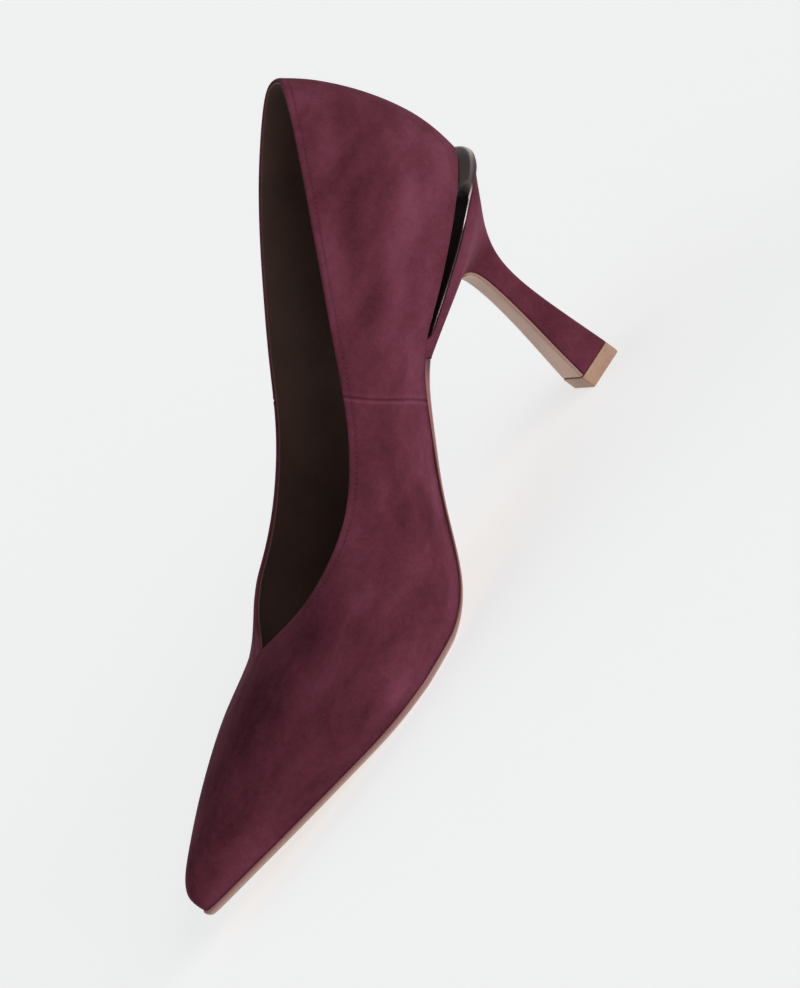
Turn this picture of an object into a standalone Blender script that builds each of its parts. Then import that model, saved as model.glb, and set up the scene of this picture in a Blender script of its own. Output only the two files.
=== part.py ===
"""A pointed heeled shoe for the right foot, with a V-cut vamp and a floating heel.

Blender 4.5, metres, +Z up. The origin is the middle of the top piece's tread, on the floor,
+X points at the toe and +Y at the inner (medial) side of the foot. Every object is one piece
that a shoemaker would put together: upper, insole, outsole, heel plate, heel, breast cover
and top piece. Lengths in the tables are shares of the named sizes below.
"""
import math

import bmesh
import bpy
import numpy as np

# Main sizes of the last
SHOE_LENGTH = 0.2210
SEAT_OVERHANG = 0.0275
BALL_BREADTH = 0.0725
SEAT_BREADTH = 0.0470
HEEL_RISE = 0.0696
TOE_SPRING = 0.0076

# Sizes of the upper
COLLAR_RISE = 0.0535
THROAT_RISE = 0.0349
COLLAR_BREADTH = 0.0640
WALL = 0.0016

# Sizes of the bottom
SOLE_THICKNESS = 0.0021
SOLE_EDGE = 0.0013
SOLE_PROUD = 0.0005
SOLE_CHAMFER = 0.0010
INSOLE_THICKNESS = 0.0022
LIP_STATION = 5.0

# Sizes of the heel and its plate
TOP_PIECE_HEIGHT = 0.0045
TOP_PIECE_LENGTH = 0.0120
TOP_PIECE_BREADTH = 0.0168
PLATE_BACK_DEPTH = 0.0062
PLATE_LEG = 0.0005
PLATE_PROUD = 0.0017
PLATE_RECESS = 0.0010
SLOT_START = 0.0135
BREAST_COVER_THICKNESS = 0.0009

# Room that meeting pieces leave between them
GAP = 0.0003

# How finely the curved pieces are faceted, and when two points are one
STEPS_PER_ROW = 3
WALL_STEPS = 12
SOLE_STEPS_ACROSS = 4
SEAT_STEPS_ACROSS = 6
SEAT_STEPS = 21
SLOT_STEPS = 15
LOOKUP_STEPS = 40
MERGE = 0.00001

# The upper's inner face is drawn in over its last rows, and ends where the toe is TOE_WALLS
# walls wide to each side of its middle. The insole ends INSOLE_SHORT sections before it.
TOE_ROWS = 4
TOE_WALLS = 1.9
INSOLE_SHORT = 2

# The feather line, where upper and sole meet, a row for each section from the seat to the toe.
# run: share of SHOE_LENGTH. seat: 1 where breadths are shares of half SEAT_BREADTH, 0 of BALL_BREADTH.
# arch and spring: height of the sole's underside in shares of HEEL_RISE and TOE_SPRING.
FEATHER_COLUMNS = ("run", "seat", "medial", "lateral", "arch", "spring")
FEATHER_ROWS = (
    (0.000, 1, 0.000, 0.000, 1.000, 0.000),
    (0.018, 1, 0.404, 0.404, 0.984, 0.000),
    (0.063, 1, 0.757, 0.757, 0.938, 0.000),
    (0.128, 1, 0.962, 0.962, 0.865, 0.000),
    (0.198, 1, 1.000, 1.000, 0.783, 0.000),
    (0.268, 1, 0.962, 0.979, 0.687, 0.000),
    (0.338, 0, 0.607, 0.690, 0.500, 0.000),
    (0.409, 0, 0.648, 0.800, 0.285, 0.000),
    (0.479, 0, 0.759, 0.924, 0.075, 0.000),
    (0.549, 0, 0.900, 1.020, 0.000, 0.000),
    (0.619, 0, 0.972, 1.048, 0.000, 0.000),
    (0.689, 0, 0.920, 0.971, 0.000, 0.090),
    (0.759, 0, 0.761, 0.761, 0.000, 0.260),
    (0.829, 0, 0.585, 0.535, 0.000, 0.470),
    (0.890, 0, 0.425, 0.342, 0.000, 0.660),
    (0.945, 0, 0.273, 0.190, 0.000, 0.830),
    (0.978, 0, 0.177, 0.094, 0.000, 0.930),
    (0.995, 0, 0.110, 0.028, 0.000, 0.985),
    (1.000, 0, 0.041, -0.041, 0.000, 1.000),
)

# The top of each section: the topline at the back, and the ridge of the vamp after the throat.
# Between them the form runs on up to a ridge that isn't there, and the topline is cut from it.
# run: share of SHOE_LENGTH. medial, lateral: shares of half COLLAR_BREADTH.
# height: above the feather line, in shares of COLLAR_RISE where collar is 1, else of THROAT_RISE.
# medial_cut, lateral_cut: share of the section that is left below the topline.
TOP_COLUMNS = ("run", "medial", "lateral", "collar", "height", "medial_cut", "lateral_cut")
TOP_ROWS = (
    (0.066, 0.000, 0.000, 1, 1.000, 1.000, 1.000),
    (0.074, 0.190, 0.190, 1, 1.011, 1.000, 1.000),
    (0.104, 0.395, 0.395, 1, 0.980, 1.000, 1.000),
    (0.162, 0.620, 0.610, 1, 0.884, 1.000, 1.000),
    (0.227, 0.785, 0.750, 1, 0.765, 1.000, 1.000),
    (0.291, 0.890, 0.860, 1, 0.652, 1.000, 1.000),
    (0.355, 0.959, 0.931, 0, 1.019, 0.977, 0.982),
    (0.418, 0.938, 0.900, 0, 1.175, 0.893, 0.917),
    (0.489, 0.828, 0.803, 0, 1.362, 0.835, 0.880),
    (0.557, 0.625, 0.609, 0, 1.326, 0.812, 0.870),
    (0.625, 0.328, 0.350, 0, 1.136, 0.853, 0.898),
    (0.688, 0.087, -0.087, 0, 1.000, 1.000, 1.000),
    (0.759, 0.078, -0.078, 0, 0.911, 1.000, 1.000),
    (0.829, 0.069, -0.069, 0, 0.762, 1.000, 1.000),
    (0.890, 0.063, -0.063, 0, 0.599, 1.000, 1.000),
    (0.945, 0.056, -0.056, 0, 0.427, 1.000, 1.000),
    (0.978, 0.050, -0.050, 0, 0.307, 1.000, 1.000),
    (0.995, 0.047, -0.047, 0, 0.192, 1.000, 1.000),
    (1.000, 0.047, -0.047, 0, 0.080, 1.000, 1.000),
)
THROAT_ROW = 11

# How each section bows between its two ends.
# flare: degrees that the wall leans out at the feather line. fall: degrees that it drops from
# level at its top. turn: degrees that its top faces forwards. The reaches are shares of its span.
BOW_COLUMNS = ("flare", "foot_reach", "fall", "top_reach", "turn")
BOW_ROWS = (
    (8, 0.33, 56, 0.33, -90),
    (12, 0.33, 58, 0.33, -52),
    (18, 0.34, 64, 0.33, -28),
    (22, 0.35, 70, 0.34, -12),
    (24, 0.35, 72, 0.34, -5),
    (26, 0.36, 72, 0.35, 0),
    (28, 0.37, 69, 0.36, 0),
    (30, 0.35, 52, 0.35, 0),
    (32, 0.35, 37, 0.37, 0),
    (35, 0.38, 19, 0.40, 0),
    (39, 0.41, 6, 0.42, 0),
    (43, 0.43, 0, 0.43, 0),
    (43, 0.42, 0, 0.44, 0),
    (36, 0.40, 0, 0.46, 0),
    (30, 0.40, 0, 0.46, 0),
    (24, 0.38, 0, 0.45, 0),
    (18, 0.35, 0, 0.42, 0),
    (10, 0.33, 0, 0.35, 20),
    (0, 0.33, 60, 0.30, 90),
)

# Depth from the feather line down to the top of the heel, a row for each run along the seat.
# run: share of SHOE_LENGTH. depth: share of PLATE_BACK_DEPTH.
HEEL_TOP_COLUMNS = ("run", "depth")
HEEL_TOP_ROWS = (
    (0.000, 1.000),
    (0.060, 0.760),
    (0.125, 0.580),
    (0.160, 0.450),
    (0.200, 0.340),
    (0.240, 0.260),
    (0.300, 0.240),
)

# How the plate's band and slot are shaped. BAND_STATIONS: how far the band stays proud of the
# seat. BAND_EASE, BAND_SHOULDER: share of PLATE_PROUD and of the plate's depth in its eased top edge.
# SLOT_LEAST: the slot ends where it is lower than this. SLOT_TURN: degrees that its round end skips.
BAND_STATIONS = 3.0
BAND_EASE = 0.8
BAND_SHOULDER = 0.30
SEAT_CROWDING = 1.35
SLOT_LEAST = 0.00015
SLOT_TURN = 14.0
SLOT_TURN_STEPS = 4

# The heel's cross-sections, from its seat down to the top piece.
# back, front: distance behind and ahead of the middle of the top piece, in shares of
# SEAT_OVERHANG. back_height, front_height: shares of HEEL_RISE. breadth: share of half
# SEAT_BREADTH. seat_form: 1 has the outline of the seat, 0 that of the stem.
HEEL_COLUMNS = ("back", "back_height", "front", "front_height", "breadth", "seat_form")
HEEL_ROWS = (
    (0.920, 0.900, 1.105, 0.706, 1.030, 1.00),
    (0.790, 0.850, 0.980, 0.706, 0.900, 0.85),
    (0.635, 0.790, 0.680, 0.726, 0.680, 0.55),
    (0.492, 0.728, 0.340, 0.738, 0.490, 0.25),
    (0.372, 0.650, 0.080, 0.700, 0.360, 0.05),
    (0.300, 0.540, 0.010, 0.580, 0.285, 0.00),
    (0.255, 0.390, 0.052, 0.395, 0.280, 0.00),
    (0.238, 0.215, 0.125, 0.215, 0.310, 0.00),
)

# STEM_ROUND: share of the stem's length that its round back takes. STEM_SQUARENESS: 2 is an ellipse.
STEM_ROUND = 0.32
STEM_SQUARENESS = 3.0
HEEL_SIDE_STEPS = 14
HEEL_FRONT_STEPS = 4
HEEL_STEPS_PER_ROW = 3
HEEL_CROWDING = 1.7

# The facing on the heel's breast: the heel row that it starts from, its share of the stem's
# breadth, and its facets.
COVER_ROW = 3.6
COVER_BREADTH = 0.94
COVER_STEPS = 15
COVER_STEPS_ACROSS = 4


def clear_scene():
    """Removes whatever the file holds, so the shoe is all that it has."""
    for thing in list(bpy.data.objects):
        bpy.data.objects.remove(thing, do_unlink=True)


def material(name, colour, roughness, metallic=0.0):
    """A plain Principled material for one piece."""
    made = bpy.data.materials.new(name)
    made.use_nodes = True
    shader = made.node_tree.nodes["Principled BSDF"]
    shader.inputs["Base Color"].default_value = (*colour, 1.0)
    shader.inputs["Roughness"].default_value = roughness
    shader.inputs["Metallic"].default_value = metallic
    return made


def column(columns, rows, name):
    """One named column of a table."""
    place = columns.index(name)
    return np.array([row[place] for row in rows], float)


def spline(points, closed=False):
    """A smooth curve through points that lie a whole step apart, as a function of the step."""
    points = np.asarray(points, float)
    count = len(points)
    pull = np.zeros((count, count))
    drive = np.zeros_like(points)
    for i in range(count):
        before, after = (i - 1) % count, (i + 1) % count
        if closed or 0 < i < count - 1:
            pull[i, before] += 1.0
            pull[i, i] += 4.0
            pull[i, after] += 1.0
            drive[i] = 3.0 * (points[after] - points[before])
        else:
            beside = 1 if i == 0 else count - 2
            pull[i, i] = 2.0
            pull[i, beside] = 1.0
            drive[i] = 3.0 * (points[max(i, beside)] - points[min(i, beside)])
    slopes = np.linalg.solve(pull, drive)

    def at(steps):
        steps = np.asarray(steps, float)
        last = count if closed else count - 1
        start = np.clip(np.floor(steps).astype(int), 0, last - 1)
        t = (steps - start)[..., None]
        here, there = start % count, (start + 1) % count
        return (points[here] * (1 + 2 * t) * (1 - t) ** 2 + slopes[here] * t * (1 - t) ** 2
                + points[there] * t * t * (3 - 2 * t) + slopes[there] * t * t * (t - 1))

    return at


def ring_of(medial, lateral):
    """Joins a medial and a lateral row of points into one ring, back to toe and back again."""
    return np.concatenate([medial, lateral[-2:0:-1]])


class Last:
    """The form that the shoe is built on, worked out from the sizes and the tables."""

    def __init__(self):
        self.rows = len(FEATHER_ROWS)
        self.toe = self.rows - 1
        run = column(FEATHER_COLUMNS, FEATHER_ROWS, "run")
        seat = column(FEATHER_COLUMNS, FEATHER_ROWS, "seat")
        breadth = seat * SEAT_BREADTH / 2 + (1 - seat) * BALL_BREADTH / 2
        under = (column(FEATHER_COLUMNS, FEATHER_ROWS, "arch") * HEEL_RISE
                 + column(FEATHER_COLUMNS, FEATHER_ROWS, "spring") * TOE_SPRING)
        self.x = run * SHOE_LENGTH - SEAT_OVERHANG
        feather = {}
        for side, sign in (("medial", 1), ("lateral", -1)):
            y = sign * breadth * column(FEATHER_COLUMNS, FEATHER_ROWS, side)
            feather[side] = np.stack([self.x, y, under], axis=1)
        self.feather_ring = spline(ring_of(feather["medial"], feather["lateral"]), closed=True)
        self.build_tops(under)
        self.build_bows(feather)

    def build_tops(self, under):
        """The line along the tops of the sections, and where the topline is cut below it."""
        base = under + SOLE_THICKNESS + GAP
        tops = {name: column(TOP_COLUMNS, TOP_ROWS, name) for name in TOP_COLUMNS}
        rise = tops["collar"] * COLLAR_RISE + (1 - tops["collar"]) * THROAT_RISE
        z = base + rise * tops["height"]
        x = tops["run"] * SHOE_LENGTH - SEAT_OVERHANG
        self.top_rows = {}
        for side, sign in (("medial", 1), ("lateral", -1)):
            y = sign * COLLAR_BREADTH / 2 * tops[side]
            self.top_rows[side] = np.stack([x, y, z], axis=1)
        medial, lateral = self.top_rows["medial"], self.top_rows["lateral"]
        self.top_line = spline(np.concatenate([lateral[:0:-1], medial]))
        before = slice(0, THROAT_ROW + 1)
        cuts = np.concatenate([tops["lateral_cut"][before][:0:-1], tops["medial_cut"][before]])
        self.cut_line = spline(cuts[:, None])

    def build_bows(self, feather):
        """The handles that bow each section between the feather line and its top."""
        bow = {name: column(BOW_COLUMNS, BOW_ROWS, name) for name in BOW_COLUMNS}
        feet, tops = {}, {}
        for side, sign in (("medial", 1), ("lateral", -1)):
            foot = feather[side] + (0, 0, SOLE_THICKNESS + GAP)
            span = np.linalg.norm(self.top_rows[side] - foot, axis=1)
            out = self.outward(np.arange(self.rows), sign)
            flare, fall, turn = (np.radians(bow[name]) for name in ("flare", "fall", "turn"))
            reach = (span * bow["foot_reach"])[:, None]
            feet[side] = reach * (out * np.sin(flare)[:, None])
            feet[side][:, 2] = reach[:, 0] * np.cos(flare)
            reach = span * bow["top_reach"]
            level = reach * np.cos(fall)
            tops[side] = np.stack([level * np.sin(turn), sign * level * np.cos(turn),
                                   -reach * np.sin(fall)], axis=1)
        self.foot_bow = spline(ring_of(feet["medial"], feet["lateral"]), closed=True)
        self.top_bow = spline(ring_of(tops["medial"], tops["lateral"]), closed=True)

    def ring_step(self, station, sign):
        """Where a station of one side lies on the rings, which run right round the shoe."""
        station = np.asarray(station, float)
        return station if sign > 0 else (2 * self.toe - station) % (2 * self.toe)

    def underside(self, station, sign):
        """The feather line dropped to the sole's underside, which is flat where it treads."""
        place = self.feather_ring(self.ring_step(station, sign))
        place[..., 2] = np.maximum(place[..., 2], 0.0)
        return place

    def outward(self, station, sign):
        """The level direction out of the feather line, which is the left side of its ring."""
        step = self.ring_step(station, sign)
        nudge = 0.01
        turn = 2 * self.toe
        along = self.feather_ring((step + nudge) % turn) - self.feather_ring((step - nudge) % turn)
        out = np.stack([-along[..., 1], along[..., 0], np.zeros(along.shape[:-1])], axis=-1)
        return out / np.linalg.norm(out, axis=-1, keepdims=True)

    def feather(self, station, sign, proud=0.0):
        """The feather line at the upper's lower edge, moved out by proud."""
        place = self.underside(station, sign)
        place[..., 2] += SOLE_THICKNESS + GAP
        return place + self.outward(station, sign) * np.asarray(proud)[..., None]

    def top(self, station, sign):
        """The top of a section. Past the throat both sides meet on the ridge of the vamp."""
        station = np.asarray(station, float)
        own = self.top_line(self.toe + sign * station)
        other = self.top_line(self.toe - sign * station)
        return np.where((station < THROAT_ROW)[..., None], own, (own + other) / 2)

    def cut(self, station, sign):
        """The share of a section that the topline leaves."""
        place = THROAT_ROW + sign * np.minimum(station, THROAT_ROW)
        return np.minimum(self.cut_line(place)[..., 0], 1.0)

    def section(self, station, sign, share):
        """A point of the upper's outer face, share of the way from its foot to its edge."""
        step = self.ring_step(station, sign)
        foot, top = self.feather(station, sign), self.top(station, sign)
        foot_handle = foot + self.foot_bow(step)
        top_handle = top + self.top_bow(step)
        t = (np.asarray(share, float) * self.cut(station, sign))[..., None]
        return (foot * (1 - t) ** 3 + 3 * foot_handle * t * (1 - t) ** 2
                + 3 * top_handle * t * t * (1 - t) + top * t ** 3)

    def half_breadth(self, station):
        """Half the distance across the feather line."""
        return (self.underside(station, 1)[..., 1] - self.underside(station, -1)[..., 1]) / 2

    def station_at(self, x):
        """The station whose feather line lies at x."""
        stations = np.linspace(0, self.toe, LOOKUP_STEPS * self.toe)
        return np.interp(x, self.underside(stations, 1)[:, 0], stations)

    def toe_station(self, depth):
        """The last station where the shoe is still depth wide on each side of its middle."""
        stations = np.linspace(THROAT_ROW, self.toe, LOOKUP_STEPS * (self.toe - THROAT_ROW))
        return stations[self.half_breadth(stations) >= depth][-1]

    def height_at(self, x):
        """Height of the feather line at x."""
        return self.feather(self.station_at(x), 1)[..., 2]

    def heel_top(self, x):
        """Height of the top of the heel at x, below the feather line by the plate's depth."""
        run = column(HEEL_TOP_COLUMNS, HEEL_TOP_ROWS, "run") * SHOE_LENGTH - SEAT_OVERHANG
        depth = column(HEEL_TOP_COLUMNS, HEEL_TOP_ROWS, "depth") * PLATE_BACK_DEPTH
        return self.height_at(x) - np.interp(x, run, depth)


def finish(bm, name, look, smooth_angle=35.0):
    """Turns a mesh into one named object with its faces out and its own material."""
    bmesh.ops.remove_doubles(bm, verts=bm.verts, dist=MERGE)
    bmesh.ops.dissolve_degenerate(bm, edges=bm.edges, dist=MERGE)
    bmesh.ops.recalc_face_normals(bm, faces=bm.faces)
    mesh = bpy.data.meshes.new(name)
    bm.to_mesh(mesh)
    bm.free()
    mesh.shade_smooth()
    mesh.set_sharp_from_angle(angle=math.radians(smooth_angle))
    made = bpy.data.objects.new(name, mesh)
    bpy.context.scene.collection.objects.link(made)
    made.data.materials.append(look)
    return made


def add_grid(bm, rows, flip=False, closed=False):
    """Faces between rows of vertices, and from the last row to the first where closed."""
    count = len(rows)
    for i in range(count if closed else count - 1):
        near, far = rows[i], rows[(i + 1) % count]
        for j in range(len(near) - 1):
            corners = [near[j], far[j], far[j + 1], near[j + 1]]
            bm.faces.new(corners[::-1] if flip else corners)


def add_points(bm, points):
    """A row of vertices for each row of points."""
    return [[bm.verts.new(place) for place in row] for row in points]


def tube_between(bm, rings):
    """A closed solid through rings of points, with a face over each end."""
    made = add_points(bm, rings)
    for near, far in zip(made, made[1:]):
        for j in range(len(near)):
            k = (j + 1) % len(near)
            bm.faces.new((near[j], near[k], far[k], far[j]))
    bm.faces.new(made[0][::-1])
    bm.faces.new(made[-1])


def slab(bm, levels):
    """A closed solid from levels of ribs, each rib a row of points across the shoe."""
    made = [add_points(bm, level) for level in levels]
    add_grid(bm, made[0])
    add_grid(bm, made[-1], flip=True)
    for upper, lower in zip(made, made[1:]):
        rim_above = [row[0] for row in upper] + upper[-1][1:] + [row[-1] for row in upper[-2::-1]]
        rim_below = [row[0] for row in lower] + lower[-1][1:] + [row[-1] for row in lower[-2::-1]]
        rim_above += upper[0][-2:0:-1]
        rim_below += lower[0][-2:0:-1]
        for j in range(len(rim_above)):
            k = (j + 1) % len(rim_above)
            bm.faces.new((rim_above[j], rim_above[k], rim_below[k], rim_below[j]))


def outer_stations(last):
    """Where the upper's outer face has its sections."""
    return np.linspace(0, last.toe, last.toe * STEPS_PER_ROW + 1)


def inner_stations(last):
    """The same for the inner face, which ends where the toe is two walls wide."""
    stations = outer_stations(last)
    start = last.toe - TOE_ROWS
    end = last.toe_station(TOE_WALLS * WALL)
    late = stations > start
    stations[late] = start + (stations[late] - start) * (end - start) / TOE_ROWS
    return stations


def upper_face(last, inner):
    """The upper's outer or inner face, a grid of points for each side."""
    stations = inner_stations(last) if inner else outer_stations(last)
    share = np.linspace(0, 1, WALL_STEPS + 1)
    grids = {}
    for sign in (1, -1):
        where, up = np.meshgrid(stations, share, indexing="ij")
        points = last.section(where, sign, up)
        if inner:
            points = points - face_normals(last, where, sign, up) * WALL
            points[:, 0] = last.feather(stations, sign, np.full(len(stations), -WALL))
        grids[sign] = points
    beyond = np.arange(len(stations)) >= THROAT_ROW * STEPS_PER_ROW
    middle = (grids[1][beyond, -1] + grids[-1][beyond, -1]) / 2
    grids[1][beyond, -1] = middle
    grids[-1][beyond, -1] = middle
    for tip in (0, -1):
        middle = (grids[1][tip] + grids[-1][tip]) / 2
        grids[1][tip] = middle
        grids[-1][tip] = middle
    return grids


def face_normals(last, where, sign, up):
    """Directions out of the upper's outer face."""
    nudge = 0.02
    along = (last.section(np.minimum(where + nudge, last.toe), sign, up)
             - last.section(np.maximum(where - nudge, 0), sign, up))
    rise = (last.section(where, sign, np.minimum(up + nudge, 1))
            - last.section(where, sign, np.maximum(up - nudge, 0)))
    normal = np.cross(rise, along) * sign
    length = np.linalg.norm(normal, axis=-1, keepdims=True)
    return normal / np.maximum(length, MERGE ** 2)


def make_upper(last, look):
    """One hollow wall, open at the collar and V throat and underneath."""
    bm = bmesh.new()
    faces = {}
    for layer in ("outer", "inner"):
        grids = upper_face(last, layer == "inner")
        for sign in (1, -1):
            rows = add_points(bm, grids[sign])
            faces[layer, sign] = rows
            add_grid(bm, rows, flip=(sign > 0) == (layer == "outer"))
    throat = THROAT_ROW * STEPS_PER_ROW
    for sign in (1, -1):
        outer, inner = faces["outer", sign], faces["inner", sign]
        add_grid(bm, [[row[0] for row in outer], [row[0] for row in inner]])
        add_grid(bm, [[row[-1] for row in outer[:throat + 1]],
                      [row[-1] for row in inner[:throat + 1]]])
    return finish(bm, "upper", look, smooth_angle=60.0)


def ribs(last, stations, proud, drop, across=SOLE_STEPS_ACROSS):
    """Rows of points from the medial to the lateral feather line, moved out and down."""
    made = []
    for station, out in zip(stations, np.broadcast_to(proud, len(stations))):
        medial, lateral = last.feather(station, 1, out), last.feather(station, -1, out)
        shares = np.linspace(0, 1, across + 1)[:, None]
        row = medial * (1 - shares) + lateral * shares
        made.append(row - (0, 0, drop))
    return made


def make_insole(last, look):
    """The sock inside the upper, its edge clear of the wall all round."""
    inset = WALL + GAP
    stations = inner_stations(last)[:-INSOLE_SHORT]
    bm = bmesh.new()
    slab(bm, [ribs(last, stations, -inset, -INSOLE_THICKNESS), ribs(last, stations, -inset, 0.0)])
    return finish(bm, "insole", look)


def make_outsole(last, look):
    """Thin leather sole from the heel's lip to the toe, chamfered along its tread."""
    stations = np.linspace(LIP_STATION, last.toe, round((last.toe - LIP_STATION) * STEPS_PER_ROW) + 1)
    tread = SOLE_PROUD - SOLE_CHAMFER
    narrow = np.full(len(stations), tread)
    bm = bmesh.new()
    slab(bm, [ribs(last, stations, SOLE_PROUD, GAP),
              ribs(last, stations, SOLE_PROUD, GAP + SOLE_EDGE),
              ribs(last, stations, narrow, GAP + SOLE_THICKNESS)])
    return finish(bm, "outsole", look, smooth_angle=30.0)


def lip_x(last):
    """Where the heel, its plate and the outsole meet under the waist."""
    return last.underside(LIP_STATION, 1)[0] - GAP


def seat_ribs(last, front, proud_back, height):
    """Ribs over the seat, proud of it at the back and recessed under its sides, at height of x."""
    stations = np.linspace(0, 1, SEAT_STEPS + 1) ** SEAT_CROWDING * last.station_at(front)
    fade = np.clip(1 - stations / BAND_STATIONS, 0, 1)
    fade = fade * fade * (3 - 2 * fade)
    proud = fade * (proud_back + PLATE_RECESS) - PLATE_RECESS
    rows = ribs(last, stations, proud, 0.0, SEAT_STEPS_ACROSS)
    for row in rows:
        row[:, 0] = np.minimum(row[:, 0], front)
        row[:, 2] = height(row[:, 0])
    return rows


def make_plate(last, look):
    """Polished plate between seat and heel, folded like a hairpin around an open slot."""
    front = lip_x(last) - GAP

    def top_height(x):
        return last.height_at(x) - GAP

    def bottom_height(x):
        return last.heel_top(x) + GAP

    def shoulder_height(x):
        return top_height(x) - BAND_SHOULDER * (top_height(x) - bottom_height(x))

    bm = bmesh.new()
    slab(bm, [seat_ribs(last, front, PLATE_PROUD * (1 - BAND_EASE), top_height),
              seat_ribs(last, front, PLATE_PROUD, shoulder_height),
              seat_ribs(last, front, PLATE_PROUD, bottom_height)])
    plate = finish(bm, "heel_plate", look, smooth_angle=40.0)
    cutter = slot_cutter(last, front)
    cut = plate.modifiers.new("slot", "BOOLEAN")
    cut.operation = "DIFFERENCE"
    cut.solver = "EXACT"
    cut.object = cutter
    return plate


def slot_cutter(last, front):
    """The open wedge between the plate's two legs, from its round inner end to the fork."""
    start = -SEAT_OVERHANG + SLOT_START
    xs = np.linspace(start, front, SLOT_STEPS + 1)
    ceiling = last.height_at(xs) - GAP - PLATE_LEG
    floor = last.heel_top(xs) + GAP + PLATE_LEG
    open_run = ceiling - floor > SLOT_LEAST
    xs, ceiling, floor = xs[open_run], ceiling[open_run], floor[open_run]
    reach = SEAT_BREADTH
    round_end = (ceiling[0] - floor[0]) / 2
    middle = (ceiling[0] + floor[0]) / 2
    skip = math.radians(SLOT_TURN)
    outline = [(start - round_end * math.sin(a), middle - round_end * math.cos(a))
               for a in np.linspace(skip, math.pi - skip, SLOT_TURN_STEPS + 1)]
    profile = outline + list(zip(xs[1:], ceiling[1:])) + list(zip(xs[:0:-1], floor[:0:-1]))
    bm = bmesh.new()
    tube_between(bm, [[(x, -reach, z) for x, z in profile], [(x, reach, z) for x, z in profile]])
    cutter = finish(bm, "slot_guide", material("guide", (0.5, 0.5, 0.5), 0.5))
    cutter.hide_render = True
    cutter.display_type = "WIRE"
    return cutter


def heel_ring(last, row):
    """One closed cross-section of the heel, from its back round its medial side."""
    back, back_height, front, front_height, breadth, seat_form = row
    along = np.linspace(0, 1, HEEL_SIDE_STEPS + 1) ** HEEL_CROWDING
    x = back + along * (front - back)
    z = back_height + along * (front_height - back_height)
    round_part = np.clip(along / STEM_ROUND, 0, 1)
    stem = np.clip(1 - (1 - round_part) ** STEM_SQUARENESS, 0, 1) ** (1 / STEM_SQUARENESS)
    seat_x = -SEAT_OVERHANG + along * (lip_x(last) + SEAT_OVERHANG)
    seat = last.half_breadth(last.station_at(seat_x)) / (SEAT_BREADTH / 2)
    half = breadth * (seat_form * seat + (1 - seat_form) * stem)
    half[0] = 0.0
    medial = np.stack([x, half, z], axis=1)
    across = np.linspace(1, -1, HEEL_FRONT_STEPS + 1)[1:-1]
    middle = np.stack([np.full(len(across), x[-1]), half[-1] * across,
                       np.full(len(across), z[-1])], axis=1)
    lateral = (medial * (1, -1, 1))[:0:-1]
    return np.concatenate([medial, middle, lateral])


def heel_rows():
    """The heel's table in metres, ending on the top piece."""
    cols = {name: column(HEEL_COLUMNS, HEEL_ROWS, name) for name in HEEL_COLUMNS}
    rows = np.stack([-cols["back"] * SEAT_OVERHANG, cols["back_height"] * HEEL_RISE,
                     cols["front"] * SEAT_OVERHANG, cols["front_height"] * HEEL_RISE,
                     cols["breadth"] * SEAT_BREADTH / 2, cols["seat_form"]], axis=1)
    foot = TOP_PIECE_HEIGHT + GAP
    front = TOP_PIECE_LENGTH / 2 - GAP - BREAST_COVER_THICKNESS
    last_row = (-TOP_PIECE_LENGTH / 2, foot, front, foot, TOP_PIECE_BREADTH / 2, 0.0)
    return np.concatenate([rows, [last_row]])


def heel_seat_ring(last):
    """The heel's top outline, flush with the plate's back and lying under its bottom."""
    front = lip_x(last) - GAP
    back = -SEAT_OVERHANG - PLATE_PROUD
    row = (back, 0.0, front, 0.0, SEAT_BREADTH / 2, 1.0)
    ring = heel_ring(last, row)
    ring[:, 2] = last.heel_top(ring[:, 0])
    return ring


def make_heel(last, look):
    """The heel with its seat wing, waisted stem and flared foot."""
    rows = heel_rows()
    through = spline(rows)
    steps = np.linspace(0, len(rows) - 1, (len(rows) - 1) * HEEL_STEPS_PER_ROW + 1)
    rings = [heel_seat_ring(last)] + [heel_ring(last, row) for row in through(steps)]
    bm = bmesh.new()
    tube_between(bm, rings)
    return finish(bm, "heel", look, smooth_angle=45.0)


def make_breast_cover(last, look):
    """Leather facing on the front of the stem, from the top piece up under the wing."""
    rows = heel_rows()
    through = spline(rows)
    steps = np.linspace(COVER_ROW, len(rows) - 1, COVER_STEPS + 1)
    across = np.linspace(1, -1, COVER_STEPS_ACROSS + 1)
    back, front = [], []
    for row in through(steps):
        breast, height, half = row[2] + GAP, row[3], row[4] * COVER_BREADTH
        back.append(np.array([(breast, share * half, height) for share in across]))
        front.append(back[-1] + (BREAST_COVER_THICKNESS, 0, 0))
    bm = bmesh.new()
    slab(bm, [back, front])
    return finish(bm, "breast_cover", look)


def make_top_piece(last, look):
    """The wearing block under the heel, with eased corners, standing on the floor."""
    row = (-TOP_PIECE_LENGTH / 2, 0.0, TOP_PIECE_LENGTH / 2, 0.0, TOP_PIECE_BREADTH / 2, 0.0)
    ring = heel_ring(last, row)
    bm = bmesh.new()
    tube_between(bm, [ring, ring + (0, 0, TOP_PIECE_HEIGHT)])
    return finish(bm, "top_piece", look)


def main():
    clear_scene()
    last = Last()
    make_upper(last, material("suede", (0.150, 0.030, 0.050), 0.95))
    make_insole(last, material("lining", (0.060, 0.025, 0.020), 0.60))
    make_outsole(last, material("sole_leather", (0.430, 0.270, 0.180), 0.55))
    make_plate(last, material("gunmetal", (0.070, 0.065, 0.062), 0.18, 1.0))
    make_heel(last, material("heel_suede", (0.150, 0.030, 0.050), 0.95))
    make_breast_cover(last, material("breast_leather", (0.450, 0.310, 0.220), 0.50))
    make_top_piece(last, material("top_piece_tan", (0.430, 0.250, 0.160), 0.60))


main()
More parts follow.
